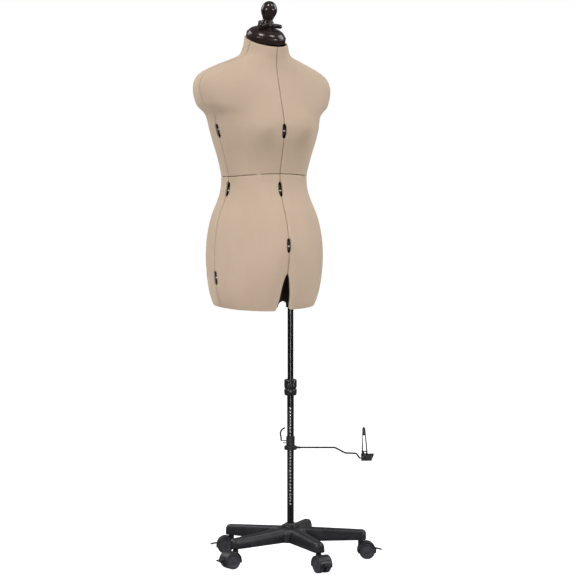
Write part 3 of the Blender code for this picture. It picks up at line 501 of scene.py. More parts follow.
def curve_through(points, per=6):
    """A smooth run through the points, with a tangent worked out at each of them."""
    points = [Vector(p) for p in points]
    last = len(points) - 1
    run = []
    for i in range(last):
        a, b = points[i], points[i + 1]
        slope_a = (b - points[i - 1]) / 2 if i > 0 else b - a
        slope_b = (points[i + 2] - a) / 2 if i + 1 < last else b - a
        run += [tuple(hermite(k / per, a, slope_a, b, slope_b)) for k in range(per)]
    return run + [tuple(points[-1])]


def finish_mesh(mesh, place=None, angle=32.0):
    """A mesh moved to its place, smooth but for its corners."""
    if place is not None:
        mesh.transform(place)
    mesh.shade_smooth()
    mesh.set_sharp_from_angle(angle=radians(angle))
    return mesh


def scratch_mesh(verts, faces):
    mesh = bpy.data.meshes.new("scratch")
    mesh.from_pydata(verts, [], faces)
    return mesh


def mesh_of(bm):
    mesh = scratch_mesh([], [])
    bm.to_mesh(mesh)
    bm.free()
    return mesh


def lathe_mesh(profile, steps, place=None, closed=False):
    """A turned mesh about Z, moved to its place; the profile runs down the outer side."""
    verts, rings, faces = [], [], []
    for radius, z in profile:
        if radius < 1e-6:
            rings.append([len(verts)] * steps)
            verts.append((0.0, 0.0, z))
            continue
        rings.append(list(range(len(verts), len(verts) + steps)))
        for k in range(steps):
            turn = 2 * pi * k / steps
            verts.append((radius * cos(turn), radius * sin(turn), z))
    for upper, lower in zip(rings, rings[1:] + (rings[:1] if closed else [])):
        for k in range(steps):
            n = (k + 1) % steps
            faces.append(tuple(dict.fromkeys((upper[k], lower[k], lower[n], upper[n]))))
    return finish_mesh(scratch_mesh(verts, faces), place)


def rod_mesh(radius, top, foot, steps, place=None):
    """A plain round bar, used to cut a bore."""
    return lathe_mesh([(0.0, top), (radius, top), (radius, foot), (0.0, foot)], steps, place)


def add_run(curve, points, closed=False):
    """A straight-lined spline through the points of a curve."""
    spline = curve.splines.new('POLY')
    spline.points.add(len(points) - 1)
    for point, place in zip(spline.points, points):
        point.co = (*place, 1.0)
    spline.use_cyclic_u = closed


def plate_mesh(outline, thickness, edge, place=None, steps=3):
    """A flat outline made solid about its plane, its edges rounded."""
    curve = configure(bpy.data.curves.new("plate", 'CURVE'), dimensions='2D', fill_mode='BOTH',
                      extrude=thickness / 2 - edge, bevel_depth=edge, bevel_resolution=steps,
                      offset=-edge)
    add_run(curve, [(x, y, 0.0) for x, y in outline], True)
    mesh = baked(loose(curve))
    bm = bmesh.new()
    bm.from_mesh(mesh)
    bmesh.ops.remove_doubles(bm, verts=bm.verts, dist=WELD_DISTANCE)
    bmesh.ops.recalc_face_normals(bm, faces=bm.faces)
    bm.to_mesh(mesh)
    bm.free()
    return finish_mesh(mesh, place)


def baked(obj, *others):
    """The evaluated mesh of a scratch object; it and its cutters are removed."""
    for scratch in (obj, *others):
        SCENE.collection.objects.link(scratch)
    depsgraph = bpy.context.evaluated_depsgraph_get()
    mesh = bpy.data.meshes.new_from_object(obj.evaluated_get(depsgraph))
    for scratch in (obj, *others):
        bpy.data.objects.remove(scratch, do_unlink=True)
    return mesh


def joined(*meshes):
    """One mesh that holds the others' bodies."""
    bm = bmesh.new()
    for mesh in meshes:
        bm.from_mesh(mesh)
    return finish_mesh(mesh_of(bm))


def cut(mesh, cutters, operation='DIFFERENCE'):
    """The mesh with the cutters' meshes taken away from it, or added to it."""
    obj, others = loose(mesh), []
    for cutter in cutters:
        others.append(loose(cutter))
        configure(obj.modifiers.new("cut", 'BOOLEAN'), operation=operation, solver='MANIFOLD',
                  object=others[-1])
    result = baked(obj, *others)
    result.materials.clear()
    return finish_mesh(result)


# ---- jersey panels ----

PANEL_COLUMNS = 46
ROW_SPACING = 0.0065
SLOT_ROWS = 11                # rows through half a dial slot
SLOT_CLEAR = 0.003            # plain rows keep this far off a slot
NECK_BLEND_Z = 1.5            # rows above this lean towards the sloped neck rim
ARC_OVER_CHORD = 1.12         # a panel's girth against the straight line across it
CLOTH_SETTINGS = {"quality": 5, "mass": 0.2, "tension_stiffness": 12.0,
                  "compression_stiffness": 12.0, "shear_stiffness": 5.0,
                  "bending_stiffness": 0.5, "tension_damping": 15.0,
                  "use_pressure": True, "uniform_pressure_force": 4.0}
CLOTH_FRAMES = 12
CLOTH_CAP = 0.0014            # the foam pushes the jersey out no further than this
EDGE_STEPS = (0.0, 0.0003, 0.0008, 0.0015, 0.0024, 0.0036, 0.0055, 0.0085)


def edge_list(length, spacing):
    """Distances from one end of a run to the other, crowded at both ends."""
    inner = length - 2 * EDGE_STEPS[-1]
    count = max(int(round(inner / spacing)), 1)
    middle = [EDGE_STEPS[-1] + inner * i / count for i in range(1, count)]
    return list(EDGE_STEPS) + middle + [length - d for d in reversed(EDGE_STEPS)]


def panel_span(upper):
    return (SPLIT_Z + SEAM_HALF, NECK_CENTRE[1]) if upper else (HEM_Z, SPLIT_Z - SEAM_HALF)


def row_heights(upper):
    """Heights of the rows, crowded at the ends and through each dial slot."""
    low, high = panel_span(upper)
    dials = (BUST_DIAL_Z,) if upper else (WAIST_DIAL_Z, HIP_DIAL_Z, HIP_SIDE_DIAL_Z)
    heights = [low + d for d in edge_list(high - low, ROW_SPACING)]
    for dial_z in dials:
        heights = [z for z in heights if abs(z - dial_z) > SLOT_HALF_HEIGHT + SLOT_CLEAR]
        for k in range(-SLOT_ROWS, SLOT_ROWS + 1):
            turn = k / SLOT_ROWS * pi / 2
            heights.append(dial_z + (SLOT_HALF_HEIGHT + 0.0006) * sin(turn))
    return sorted(heights)


def roll_depth(distance):
    """How far the surface drops at a distance from the panel's edge."""
    if distance >= EDGE_ROLL:
        return 0.0
    return EDGE_ROLL - sqrt(EDGE_ROLL ** 2 - (EDGE_ROLL - distance) ** 2)


def panel_rows(side, front, upper):
    """Rows of (angle, z, distance to the nearest side, to the nearest end, along the row)."""
    low, top = panel_span(upper)
    steps = len(EDGE_STEPS)
    rows = []
    for z0 in row_heights(upper):
        row = []
        leaning = upper and z0 > NECK_BLEND_Z
        for k in range(PANEL_COLUMNS + 1):
            z = z0
            for _ in range(4 if leaning else 1):
                centre, edge = panel_edges(z, front, upper)
                ends = (edge, centre) if front else (pi - edge, pi - centre)
                reach = (torso_point(ends[0], z) - torso_point(ends[1], z)).length
                reach *= ARC_OVER_CHORD
                if k < steps:
                    part = EDGE_STEPS[k] / reach
                elif k > PANEL_COLUMNS - steps:
                    part = 1.0 - EDGE_STEPS[PANEL_COLUMNS - k] / reach
                else:
                    inner = EDGE_STEPS[-1] / reach
                    share = (k - steps + 1) / (PANEL_COLUMNS - 2 * steps + 2)
                    part = inner + (1 - 2 * inner) * share
                angle = centre + (edge - centre) * part
                signed = side * (angle if front else pi - angle)
                if leaning:
                    rim = neck_rim_z(torso_point(signed, z).y - TORSO.y)
                    part_up = (z0 - NECK_BLEND_Z) / (top - NECK_BLEND_Z)
                    z = NECK_BLEND_Z + part_up * (rim - NECK_BLEND_Z)
            sideways = min(part, 1.0 - part) * reach
            upright = min(z0 - low, top - z0)
            row.append((signed, true_height(signed, z, side, upper), sideways, upright,
                        part * reach))
        rows.append(row)
    return rows


def cloth_lines(count):
    """Grid lines the cloth uses: both edges, and every line clear of the edge roll."""
    skip = len(EDGE_STEPS) - 1
    return [0] + list(range(skip, count - skip)) + [count - 1]


def cloth_share(index, count):
    """The cloth line that a grid line follows, and how much of its lift it takes."""
    skip = len(EDGE_STEPS) - 1
    from_edge = min(index, count - 1 - index)
    if from_edge >= skip:
        return index, 1.0
    return (skip if index < skip else count - 1 - skip), EDGE_STEPS[from_edge] / EDGE_STEPS[skip]


def jersey_lift(points, normals, rows, width, inward):
    """How far the foam presses the jersey out at each point: cloth pinned along its border."""
    down, across = cloth_lines(rows), cloth_lines(width)
    at = {(i, k): n for n, (i, k) in enumerate((i, k) for i in down for k in across)}
    faces = []
    for i, below in zip(down, down[1:]):
        for k, beside in zip(across, across[1:]):
            face = (at[i, k], at[i, beside], at[below, beside], at[below, k])
            faces.append(tuple(reversed(face)) if inward else face)
    mesh = scratch_mesh([points[i * width + k] for i in down for k in across], faces)
    obj = new_object("jersey", mesh)
    pinned = obj.vertex_groups.new(name="pinned")
    border = [n for (i, k), n in at.items() if i in (0, rows - 1) or k in (0, width - 1)]
    pinned.add(border, 1.0, 'REPLACE')
    cloth = obj.modifiers.new("cloth", 'CLOTH')
    configure(cloth.settings, vertex_group_mass="pinned", **CLOTH_SETTINGS)
    cloth.settings.effector_weights.gravity = 0.0
    cloth.collision_settings.use_collision = False
    cloth.point_cache.frame_end = CLOTH_FRAMES
    for step in range(1, CLOTH_FRAMES + 1):
        SCENE.frame_set(step)
    shaped = obj.evaluated_get(bpy.context.evaluated_depsgraph_get()).data
    places = [vertex.co.copy() for vertex in shaped.vertices]
    bpy.data.objects.remove(obj, do_unlink=True)
    SCENE.frame_set(1)
    lifts = []
    for index in range(len(points)):
        i, row_share = cloth_share(index // width, rows)
        k, column_share = cloth_share(index % width, width)
        held = i * width + k
        moved = (places[at[i, k]] - points[held]).dot(normals[held])
        lifts.append(row_share * column_share * CLOTH_CAP * tanh(moved / CLOTH_CAP))
    return lifts


def panel_mesh(side, front, upper):
    """A panel's shell: jersey outside and over its edges, dark plastic inside."""
    rows = panel_rows(side, front, upper)
    outer, inner, uvs, normals = [], [], [], []
    for row in rows:
        for angle, z, sideways, upright, along in row:
            point = torso_point(angle, z)
            normal = torso_normal(angle, z)
            across, down = roll_depth(sideways), roll_depth(upright)
            drop = min(0.5 * (max(across, down) + (across + down)), EDGE_ROLL * 1.2)
            outer.append(point + normal * (FABRIC_OUT - drop))
            inner.append(point - normal * PANEL_THICK)
            uvs.append((along, z))
            normals.append(normal)
    count, width, shell = len(rows), len(rows[0]), len(outer)
    inward = (side > 0) != front
    lifts = jersey_lift(outer, normals, count, width, inward)
    outer = [point + normal * lift for point, normal, lift in zip(outer, normals, lifts)]
    faces, inside = [], []
    for i in range(count - 1):
        for a in range(i * width, i * width + width - 1):
            face = (a, a + 1, a + width + 1, a + width)
            faces.append(face)
            inside.append(tuple(v + shell for v in reversed(face)))
    border = list(range(width - 1)) + [i * width + width - 1 for i in range(count - 1)]
    border += [(count - 1) * width + k for k in range(width - 1, 0, -1)]
    border += [i * width for i in range(count - 1, 0, -1)]
    rims = [(b, a, a + shell, b + shell) for a, b in zip(border, border[1:] + border[:1])]
    mesh = scratch_mesh(outer + inner, faces + rims + inside)
    layer = mesh.uv_layers.new(name="weave")
    for loop in mesh.loops:
        layer.data[loop.index].uv = uvs[loop.vertex_index % shell]
    for polygon in mesh.polygons:
        polygon.use_smooth = True
        polygon.material_index = 1 if polygon.index >= len(faces) + len(rims) else 0
    if inward:
        mesh.flip_normals()
    return mesh


def make_panels(mats):
    for level in ("lower", "upper"):
        for depth in ("front", "back"):
            for hand in ("left", "right"):
                node = f"{level}_{depth}_{hand}_panel"
                mesh = panel_mesh(1 if hand == "left" else -1, depth == "front", level == "upper")
                cover = add_mesh(f"{level}_{depth}_{hand}_cover", mesh,
                                 (mats["jersey"], mats["brown_plastic"]))
                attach(cover, f"{level}_{depth}_{hand}")
                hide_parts(node)


# ---- neck ----

ADJUSTER_BOTTOM = 0.0429      # heights along the knob's axis
ADJUSTER_TOP = 0.0549
FINIAL_BOTTOM = 0.0616
NECK_PLACE = shift(TORSO.x, TORSO.y + NECK_CENTRE[0], NECK_CENTRE[1]) @ turned(NECK_TILT, 'X')
KNOB_PLACE = shift(TORSO.x, TORSO.y + KNOB_BASE[0], KNOB_BASE[1]) @ turned(KNOB_TILT, 'X')
LOBE_RADIUS = 0.0105
LOBE_REACH = 0.035
LOBE_WAIST = 0.0218           # the adjuster's radius between its lobes


def make_neck(mats):
    """Domed cap with a boss, three-lobed adjuster on a collar, and the pear finial."""
    dome = curve_through(mm((0, 36.6), (15, 36.6), (28, 36), (39, 33.8), (48, 29.6), (54, 23.8),
                            (57.2, 18.6)))
    band = [(0.0576, 0.0172)] + arc((0.0588, 0.0158), 0.0014, 100, 0, 5)
    band += arc((0.0588, 0.0026), 0.0014, 0, -90, 5)
    foot = mm((49, 1.2), (49, -8), (0, -8))
    cap = lathe_mesh(dome + band + foot, 112, NECK_PLACE)
    top = ADJUSTER_BOTTOM - 0.0006
    flare = [(0.0, top), (0.022, top)] + arc((0.0222, top - 0.0012), 0.0012, 80, 0, 4)
    flare += curve_through([(0.0234, top - 0.003), (0.0238, 0.037), (0.0262, 0.034),
                            (0.032, 0.031), (0.034, 0.029)])
    boss = lathe_mesh(flare + [(0.0, 0.02)], 96, KNOB_PLACE)
    stand_in("neck_cap_shell", joined(cap, boss), "neck_cap", mats["brown_gloss"])

    outline = []
    for lobe in range(3):
        turn = degrees(-VIEW_TURN) + lobe * 120
        angle = radians(turn)
        tip = (LOBE_REACH * cos(angle), LOBE_REACH * sin(angle))
        outline += arc(tip, LOBE_RADIUS, turn - 84, turn + 84, 18)
        outline += arc((0, 0), LOBE_WAIST, turn + 42, turn + 78, 8)
    middle = shift(z=(ADJUSTER_TOP + ADJUSTER_BOTTOM) / 2)
    lobes = plate_mesh(outline, ADJUSTER_TOP - ADJUSTER_BOTTOM, 0.0046, KNOB_PLACE @ middle, 6)
    rise = [(0.0, FINIAL_BOTTOM - 0.0005)]
    rise += arc((0.017, FINIAL_BOTTOM - 0.002), 0.0015, 90, 0, 4)
    rise += curve_through(mm((18.6, 58), (19.6, 56), (22.2, 54.6), (22.5, 53)))
    collar = lathe_mesh(rise + [(0.0, 0.052)], 96, KNOB_PLACE)
    stand_in("neck_adjuster_lobes", joined(lobes, collar), "neck_adjuster", mats["brown_gloss"])

    pear = curve_through(mm((0, 120.7), (7, 119.8), (14, 116), (20, 108.7), (23.7, 100),
                            (24.4, 92.5), (23.2, 85), (20, 77), (16.8, 70), (14.9, 65)), 5)
    pear += arc((0.015, FINIAL_BOTTOM + 0.0008), 0.0008, 60, -90, 5) + [(0.0, FINIAL_BOTTOM)]
    stand_in("finial_pear", lathe_mesh(pear, 112, KNOB_PLACE), "finial_knob",
             mats["brown_gloss"])


# ---- size dials ----

DIAL_RADIUS = 0.02
DIAL_HALF_WIDTH = 0.0045
DIAL_TEETH = 40
TOOTH_DEPTH = 0.0009
DIAL_MARKS = 4
MARK_HALF_ANGLE = 4.6
THREAD_TURNS = 40
THREAD_HALF_LENGTH = 0.0255


def dial_parts():
    """Knurled wheel with white marks on its rim, and its threaded rod, about Z."""
    outline = []
    for i in range(DIAL_TEETH * 4):
        turn = 2 * pi * i / (DIAL_TEETH * 4)
        tooth = 0.5 + 0.5 * cos(DIAL_TEETH * turn)
        reach = DIAL_RADIUS - TOOTH_DEPTH * tooth - 0.0001
        outline.append((reach * cos(turn), reach * sin(turn)))
    wheel = plate_mesh(outline, 2 * DIAL_HALF_WIDTH, 0.001, None, 2)
    thread = [(0.003 if i % 2 else 0.0025, THREAD_HALF_LENGTH * (1 - 2 * i / THREAD_TURNS))
              for i in range(THREAD_TURNS + 1)]
    end = THREAD_HALF_LENGTH + 0.0005
    rod = lathe_mesh([(0.0, end)] + thread + [(0.0, -end)], 16)
    for face in wheel.polygons:
        x, y, z = face.center
        turn = degrees(atan2(y, x)) % (360 / DIAL_MARKS)
        marked = abs(turn - 180 / DIAL_MARKS) < MARK_HALF_ANGLE and abs(z) < 0.6 * DIAL_HALF_WIDTH
        if marked and hypot(x, y) > DIAL_RADIUS - 0.0014:
            face.material_index = 1
    return joined(wheel, rod)


def make_dials(mats):
    shape = dial_parts()
    for seam in ("front", "left", "back", "right"):
        for girth in ("bust", "waist", "hip"):
            node = f"{girth}_dial_{seam}"
            mesh = shape.copy()
            mesh.transform(Matrix.Translation(middle_of(node))
                           @ turned(pi / 2, 'X' if seam in ("left", "right") else 'Y')
                           @ turned(pi / DIAL_MARKS))
            stand_in(f"{node}_wheel", mesh, node, mats["black_plastic"], mats["white_print"])


# ---- base and casters ----

ARM_COUNT = 5
ARM_TURN = radians(4.5)       # first arm against the turned base
STEM_RADIUS_OUT = 0.214
ARM_TOP_HUB = 0.1
ARM_TOP_TIP = 0.089
ARM_BOTTOM = 0.0575
ARM_HALF_HUB = 0.0215
ARM_HALF_TIP = 0.0165
ARM_STATIONS = 40
ARM_COLUMNS = 28
ARM_ROUND = 0.62              # power of the arm's section: 1 round, 0 square
TIP_POWER = 2.6               # how blunt the arm's end is in plan
HUB_RADIUS = 0.04
HUB_PROFILE = ((0.0, 0.1002), (0.03, 0.1002), (0.038, 0.0985), (0.044, 0.093),
               (0.048, 0.085), (0.05, ARM_BOTTOM), (0.034, ARM_BOTTOM),
               (0.034, 0.054), (0.0, 0.054))
BASE_VOXEL = 0.0016
POCKET = (0.12, 0.128, 0.022)  # pockets under the arms: reach, length, height
SOCKET_TOP = 0.0815           # the caster stems are pressed in this far
STEM_HOLE = 0.0044
TUBE_CLEARANCE = 0.0003


def arm_mesh(place):
    """One tapered arm with a round back, drafted sides and a capped tip."""
    verts, faces = [], []
    tip = STEM_RADIUS_OUT + ARM_HALF_TIP
    width = ARM_COLUMNS + 1
    for i in range(ARM_STATIONS + 1):
        reach = tip * sin(i / ARM_STATIONS * pi / 2)
        along = clamp((reach - HUB_RADIUS) / (STEM_RADIUS_OUT - HUB_RADIUS))
        top = ARM_TOP_HUB + (ARM_TOP_TIP - ARM_TOP_HUB) * along
        half = ARM_HALF_HUB + (ARM_HALF_TIP - ARM_HALF_HUB) * along
        over = max(reach - STEM_RADIUS_OUT, 0.0) / ARM_HALF_TIP
        close = sqrt(max(1.0 - over ** TIP_POWER, 0.0))
        half *= max(close, 0.05)
        height = (top - ARM_BOTTOM) * (0.62 + 0.38 * close)
        for k in range(width):
            t = pi * k / ARM_COLUMNS
            c, s = cos(t), sin(t)
            y = half * copysign(abs(c) ** ARM_ROUND, c) * (1.0 + 0.06 * (1 - abs(s)))
            verts.append((reach, y, ARM_BOTTOM + height * abs(s) ** ARM_ROUND))
    for i in range(0, ARM_STATIONS * width, width):
        for k in range(width):
            n = (k + 1) % width
            faces.append((i + k, i + n, i + width + n, i + width + k))
    faces.append(tuple(reversed(range(width))))
    faces.append(tuple(ARM_STATIONS * width + k for k in range(width)))
    mesh = scratch_mesh(verts, faces)
    mesh.transform(place)
    return mesh


def pocket_mesh(place):
    bm = bmesh.new()
    reach, length, height = POCKET
    box = (place @ shift(reach, 0, ARM_BOTTOM + 0.009)
           @ Matrix.Diagonal((length, 2 * ARM_HALF_TIP - 0.009, height, 1.0)))
    bmesh.ops.create_cube(bm, size=1.0, matrix=box)
    return mesh_of(bm)


def make_base(mats):
    """Arms and hub moulded together: joined, remeshed, then smoothed into fillets."""
    places = [AT_POLE @ turned(ARM_TURN - VIEW_TURN + i * 2 * pi / ARM_COUNT)
              for i in range(ARM_COUNT)]
    arms = [arm_mesh(place) for place in places]
    obj = loose(joined(*arms, lathe_mesh(HUB_PROFILE, 64, AT_POLE)))
    configure(obj.modifiers.new("remesh", 'REMESH'), mode='VOXEL', voxel_size=BASE_VOXEL)
    configure(obj.modifiers.new("smooth", 'SMOOTH'), factor=0.5, iterations=9)
    mesh = baked(obj)
    pockets = [pocket_mesh(place) for place in places]
    bore = rod_mesh(TUBE_RADIUS + TUBE_CLEARANCE, 0.11, TUBE_LO.z - 0.0004, 64, AT_POLE)
    sockets = [rod_mesh(STEM_HOLE, SOCKET_TOP, 0.05, 24, place @ shift(STEM_RADIUS_OUT))
               for place in places]
    mesh = cut(mesh, [joined(*pockets), joined(bore, *sockets)])
    stand_in("star_base_moulding", finish_mesh(mesh, angle=50.0), "star_base", mats["base_plastic"])


WHEEL_RADIUS = 0.0245
HOOD_RADIUS = 0.0278
HOOD_HALF_WIDTH = 0.0215
WEB_HALF = 0.0035
CASTER_TRAIL = 0.018
BRAKE_DROOP = radians(12)


def wheel_mesh():
    """Twin wheels on one axle along Y: dished faces with a ring and a hub cap."""
    half = [(0.0, 0.0188), (0.003, 0.0188)] + arc((0.004, 0.018), 0.0008, 80, 0, 3)
    half += mm((5, 17.2), (14, 16.6), (15.2, 17.4), (17.6, 17.6), (18.4, 16.8), (19.2, 17),
               (20.4, 19.2))
    half += arc((0.0222, 0.0172), 0.0023, 95, 0, 7) + [(WHEEL_RADIUS, 0.0058)]
    half += arc((0.0232, 0.0056), 0.0013, 0, -90, 4) + [(0.0034, 0.0043)]
    return lathe_mesh(half + [(r, -z) for r, z in reversed(half)], 72, SIDEWAYS)


def hood_mesh():
    """Half-round cover, axle along Y through the origin, trail towards +X."""
    at_stem = shift(-CASTER_TRAIL)
    cover = plate_mesh(arc((0, 0), HOOD_RADIUS, -14, 194, 56), 2 * HOOD_HALF_WIDTH, 0.0022,
                       SIDEWAYS)
    boss = lathe_mesh(mm((0, 30), (7.8, 30), (8.5, 29.3), (8.5, 11), (0, 11)), 36, at_stem)
    cover = cut(cover, [boss], 'UNION')
    outer = HOOD_HALF_WIDTH + 0.004
    well = WHEEL_RADIUS + 0.0008
    return cut(cover, [rod_mesh(well, -WEB_HALF, -outer, 72, SIDEWAYS),
                       rod_mesh(well, outer, WEB_HALF, 72, SIDEWAYS),
                       rod_mesh(0.004, 0.03, -0.03, 24, SIDEWAYS),
                       rod_mesh(STEM_HOLE, 0.049, 0.019, 24, at_stem)])


def brake_mesh():
    """Toe lever with a rolled hinge, in the hood's own frame."""
    side = curve_through(mm((0, -9), (8, -10.1), (13.8, -10), (17, -6.8), (17.8, 0)), 5)
    leaf = plate_mesh(side + [(x, -y) for x, y in reversed(side[:-1])], 0.0026, 0.0011)
    hinge = lathe_mesh(mm((0, 9.2), (1.6, 9.2), (2.1, 8.6), (2.1, -8.6), (1.6, -9.2), (0, -9.2)),
                       24, SIDEWAYS)
    mesh = joined(leaf, hinge)
    mesh.transform(shift(HOOD_RADIUS + 0.0016, 0, 0.006) @ turned(BRAKE_DROOP, 'Y'))
    return mesh


def make_casters(mats):
    shapes = (("twin_wheels", "wheels", wheel_mesh(), "wheel_plastic"),
              ("cover", "hood", hood_mesh(), "caster_plastic"),
              ("toe_lever", "brake_tab", brake_mesh(), "caster_plastic"))
    for index in range(1, ARM_COUNT + 1):
        axle, stem = middle_of(f"caster_{index}_wheels"), middle_of(f"caster_{index}_stem")
        place = Matrix.Translation(axle) @ turned(atan2(axle.y - stem.y, axle.x - stem.x))
        for piece, node, shape, finish in shapes:
            mesh = shape.copy()
            mesh.transform(place)
            stand_in(f"caster_{index}_{piece}", mesh, f"caster_{index}_{node}", mats[finish])


# ---- pole lock and marker lever ----

NUT_LOBES = 8
NUT_GROOVE = 0.0024
LEVER_RADIUS = 0.0026
LEVER_PIVOT = (-0.0276, 0.361)  # reach along the marker's arm, height
ARM_WIRE_RADIUS = 0.0027
ARM_WIRE_Z = 0.3405
ARM_RING_RADIUS = 0.019
# reach along the arm, drop below the ring
ARM_ROUTE = mm((27, 0), (132, 0), (137, 1.5), (162, 15), (167, 16.8), (196, 17.8), (200, 19.5),
               (207.5, 30), (209.5, 32), (212.2, 32.2))


def flute(mesh, count, depth, inside):
    """Grooves cut down the outer side of a turned mesh about Z."""
    for vertex in mesh.vertices:
        reach = hypot(vertex.co.x, vertex.co.y)
        if reach > inside:
            turn = atan2(vertex.co.y, vertex.co.x)
            cut_in = (0.5 + 0.5 * cos(count * turn)) ** 3
            scale = (reach - depth * cut_in) / reach
            vertex.co.x *= scale
            vertex.co.y *= scale
    return finish_mesh(mesh)


def make_pole_lock(mats):
    """Fluted nut above the split line, and the collar on the lower tube below it."""
    split, top = (corner.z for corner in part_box("height_lock_nut"))
    upper_low, upper_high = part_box("upper_tube")
    bore = (upper_high.x - upper_low.x) / 2 + 0.0004
    recess = bore + 0.0044
    grip = curve_through([(0.015, top), (0.0172, top - 0.0008), (0.0188, top - 0.0034),
                          (0.019, top - 0.008), (0.019, split + 0.009),
                          (0.0187, split + 0.0034), (0.017, split)], 4)
    grip += [(recess, split), (recess, split + 0.0089), (bore, split + 0.009), (bore, top)]
    nut = lathe_mesh(grip, 160, closed=True)
    flute(nut, NUT_LOBES, NUT_GROOVE, recess + 0.002)
    nut.transform(AT_POLE)
    stand_in("height_lock_grip", nut, "height_lock_nut", mats["nut_plastic"])
    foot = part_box("pole_collar")[0].z
    step = TUBE_HI.z + 0.0004
    tube = TUBE_RADIUS + TUBE_CLEARANCE
    lip = recess - 0.0004
    barrel = curve_through([(lip, split - 0.001), (0.0172, split - 0.0012),
                            (0.0189, split - 0.0036), (0.0192, split - 0.009),
                            (0.0184, foot + 0.004), (0.0172, foot + 0.0008),
                            (0.016, foot)], 4)
    inside = [(tube, foot), (tube, step), (bore, step), (bore, split + 0.008)]
    collar = lathe_mesh([(lip, split + 0.008)] + barrel + inside, 96, AT_POLE, True)
    stand_in("pole_collar_barrel", collar, "pole_collar", mats["nut_plastic"])


def wire_mesh(run, radius):
    """A round wire along a run of points, its ends capped."""
    curve = configure(bpy.data.curves.new("wire", 'CURVE'), dimensions='3D', bevel_depth=radius,
                      bevel_resolution=5, use_fill_caps=True)
    add_run(curve, run)
    return finish_mesh(baked(loose(curve)))


def make_marker(mats):
    """Sprung lever bent to a C, and the ring with its long stepped arm."""
    on_tube = AT_POLE @ turned(-VIEW_TURN)
    run = [(0.0, 0, -0.0006), (-0.0004, 0, 0.003)]
    run += [(x, 0, z) for x, z in arc((0.015, 0.0215), 0.0178, 203, 102, 18)]
    lever = wire_mesh(run, LEVER_RADIUS)
    lever.transform(on_tube @ shift(LEVER_PIVOT[0], 0, LEVER_PIVOT[1]))
    stand_in("marker_lever_wire", lever, "marker_lever", mats["marker_metal"])

    foot = ARM_WIRE_Z - 0.0065
    head = ARM_WIRE_Z + 0.0055
    bore = TUBE_RADIUS + 0.0005
    edge = 0.001
    outer = arc((ARM_RING_RADIUS - edge, head - edge), edge, 90, 0, 4)
    outer += arc((ARM_RING_RADIUS - edge, foot + edge), edge, 0, -90, 4)
    ring = lathe_mesh(outer + [(bore, foot), (bore, head)], 72, closed=True)
    neck = plate_mesh(mm((16.5, -9), (30, -3), (30, 3), (16.5, 9)), 0.0058, 0.0008,
                      shift(z=ARM_WIRE_Z), 2)
    wire = wire_mesh([(x, 0, ARM_WIRE_Z - drop) for x, drop in ARM_ROUTE], ARM_WIRE_RADIUS)
    arm = joined(ring, neck, wire)
    arm.transform(on_tube)
    stand_in("marker_arm_wire", arm, "marker_arm", mats["marker_metal"])


# ---- printed scale ----

SCALE_BOTTOM = 0.17
SCALE_TOP = 0.46
SCALE_STEP = 0.005
SCALE_TURN = VIEW_TURN + radians(4.0)
FIRST_LABEL = 10
TICK_LEFT = -0.0042
TICK_LONG = 0.0016
TICK_SHORT = 0.001
TICK_HALF_HEIGHT = 0.00035
TICK_COLUMNS = 3
LABEL_SIZE = 0.008
LABEL_NARROWING = 0.52
LABEL_PLACE = (-0.0018, -0.0028)  # of its lower left corner against the tick
PRINT_THICKNESS = 0.00008


def make_scale(mats):
    """White ticks and numbers printed up the lower tube, a tenth of a millimetre proud."""
    radius = TUBE_RADIUS + 0.0001
    verts, faces = [], []

    def add_flat(points, polygons):
        start = len(verts)
        for x, z in points:
            turn = -pi / 2 - SCALE_TURN + x / radius
            verts.append((POLE.x + radius * cos(turn), POLE.y + radius * sin(turn), z))
        faces.extend(tuple(start + v for v in polygon) for polygon in polygons)

    count = int(round((SCALE_TOP - SCALE_BOTTOM) / SCALE_STEP))
    n = TICK_COLUMNS
    for i in range(count + 1):
        z = SCALE_BOTTOM + i * SCALE_STEP
        length = TICK_SHORT if i % 2 else TICK_LONG
        xs = [TICK_LEFT + length * k / n for k in range(n + 1)]
        points = [(x, z - TICK_HALF_HEIGHT) for x in xs] + [(x, z + TICK_HALF_HEIGHT) for x in xs]
        add_flat(points, [(k, k + 1, k + n + 2, k + n + 1) for k in range(n)])
        if i % 2 == 0:
            label = configure(bpy.data.curves.new("label", 'FONT'), offset=0.00022,
                              body=str(FIRST_LABEL + i // 2), size=LABEL_SIZE, resolution_u=3)
            flat = baked(loose(label))
            add_flat([(LABEL_NARROWING * v.co.x + LABEL_PLACE[0], z + LABEL_PLACE[1] + v.co.y)
                      for v in flat.vertices], [tuple(p.vertices) for p in flat.polygons])
    solid = loose(scratch_mesh(verts, faces))
    configure(solid.modifiers.new("print", 'SOLIDIFY'), thickness=PRINT_THICKNESS, offset=1.0)
    scale = add_mesh("height_scale", baked(solid), (mats["white_print"],))
    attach(scale, BODY_OF["lower_tube"])


# ---- studio ----

AMBIENT = 0.14
SKY_GLOW = 1.0                # what the camera sees behind the object
FLOOR_GLOW = 0.93
FLOOR_SIZE = 30.0
CHEST_Z = 1.12                # the softboxes aim at this height
LEG_Z = 0.6                   # the low one, with its narrow grid, aims here
# direction as (right, up, towards the camera), distance, size, watts; aim, spread in degrees
LIGHTS = {
    "softbox_left": ((-0.62, 0.22, 0.74), 5.2, 1.5, 80),
    "softbox_left_high": ((-0.2, 0.84, 0.5), 4.8, 1.4, 80),
    "softbox_right": ((0.85, 0.16, 0.48), 5.2, 1.4, 58),
    "softbox_right_high": ((0.5, 0.8, 0.32), 4.8, 1.4, 42),
    "softbox_low": ((0.05, -0.04, 1.0), 4.2, 0.6, 0.27, LEG_Z, 15.0),
    "rim_left": ((-0.78, 0.5, -0.4), 4.2, 2.2, 60),
    "rim_right": ((0.8, 0.5, -0.34), 4.2, 2.2, 56),
}


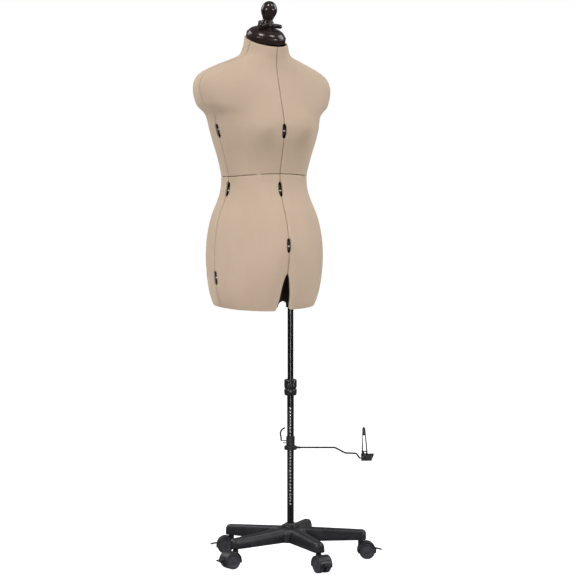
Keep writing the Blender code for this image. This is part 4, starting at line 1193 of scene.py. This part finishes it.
def make_stage():
    bm = bmesh.new()
    bmesh.ops.create_grid(bm, x_segments=2, y_segments=2, size=FLOOR_SIZE)
    floor = add_mesh("studio_floor", mesh_of(bm), (floor_material(),))


def place_facing(obj, location, aim):
    obj.location = location
    obj.rotation_euler = (aim - obj.location).to_track_quat('-Z', 'Y').to_euler()


def area_light(name, direction, distance, size, power, aim_z=CHEST_Z, spread=180.0):
    """A softbox aimed at the torso's axis, at a height."""
    data = configure(bpy.data.lights.new(name, 'AREA'), shape='SQUARE', size=size,
                     energy=power, spread=radians(spread))
    aim = Vector((TORSO.x, TORSO.y, aim_z))
    right, up, toward = direction
    offset = VIEW_RIGHT * right + UP * up + VIEW_TOWARD * toward
    place_facing(new_object(name, data), aim + offset.normalized() * distance, aim)


def make_lights():
    """A white surround that glows fully for the camera only, and the softboxes."""
    world = bpy.data.worlds.new("studio")
    world.use_nodes = True
    tree = world.node_tree
    background = tree.nodes["Background"]
    background.inputs["Color"].default_value = (1.0, 1.0, 1.0, 1.0)
    seen = tree.nodes.new("ShaderNodeLightPath").outputs["Is Camera Ray"]
    strength = tree.nodes.new("ShaderNodeMath")
    strength.operation = 'MULTIPLY_ADD'
    tree.links.new(seen, strength.inputs[0])
    strength.inputs[1].default_value = SKY_GLOW - AMBIENT
    strength.inputs[2].default_value = AMBIENT
    tree.links.new(strength.outputs["Value"], background.inputs["Strength"])
    SCENE.world = world
    for name, values in LIGHTS.items():
        area_light(name, *values)


CAMERA_DISTANCE = 6.0
CAMERA_HEIGHT = 1.12
AIM_HEIGHT = 0.8243
AIM_RIGHT = -0.009
FOCAL = 124.98
SENSOR_WIDTH = 36.0


def make_camera():
    data = configure(bpy.data.cameras.new("camera"), sensor_width=SENSOR_WIDTH, lens=FOCAL)
    camera = new_object("camera", data)
    middle = POLE + VIEW_RIGHT * AIM_RIGHT
    place_facing(camera, middle + VIEW_TOWARD * CAMERA_DISTANCE + UP * CAMERA_HEIGHT,
                 middle + UP * AIM_HEIGHT)
    SCENE.camera = camera


# ---- the whole scene ----

def main():
    mats = make_materials()
    make_camera()
    make_lights()
    make_stage()
    for name, obj in NODES.items():
        if not name.endswith("_panel"):
            finish = "marker_metal" if name.endswith("_stem") else SLOT_OF[name]
            smooth_node(obj, mats[finish])
    make_panels(mats)
    make_dials(mats)
    make_neck(mats)
    make_base(mats)
    make_casters(mats)
    make_pole_lock(mats)
    make_marker(mats)
    make_scale(mats)
    SCENE.view_settings.view_transform = 'Standard'


main()
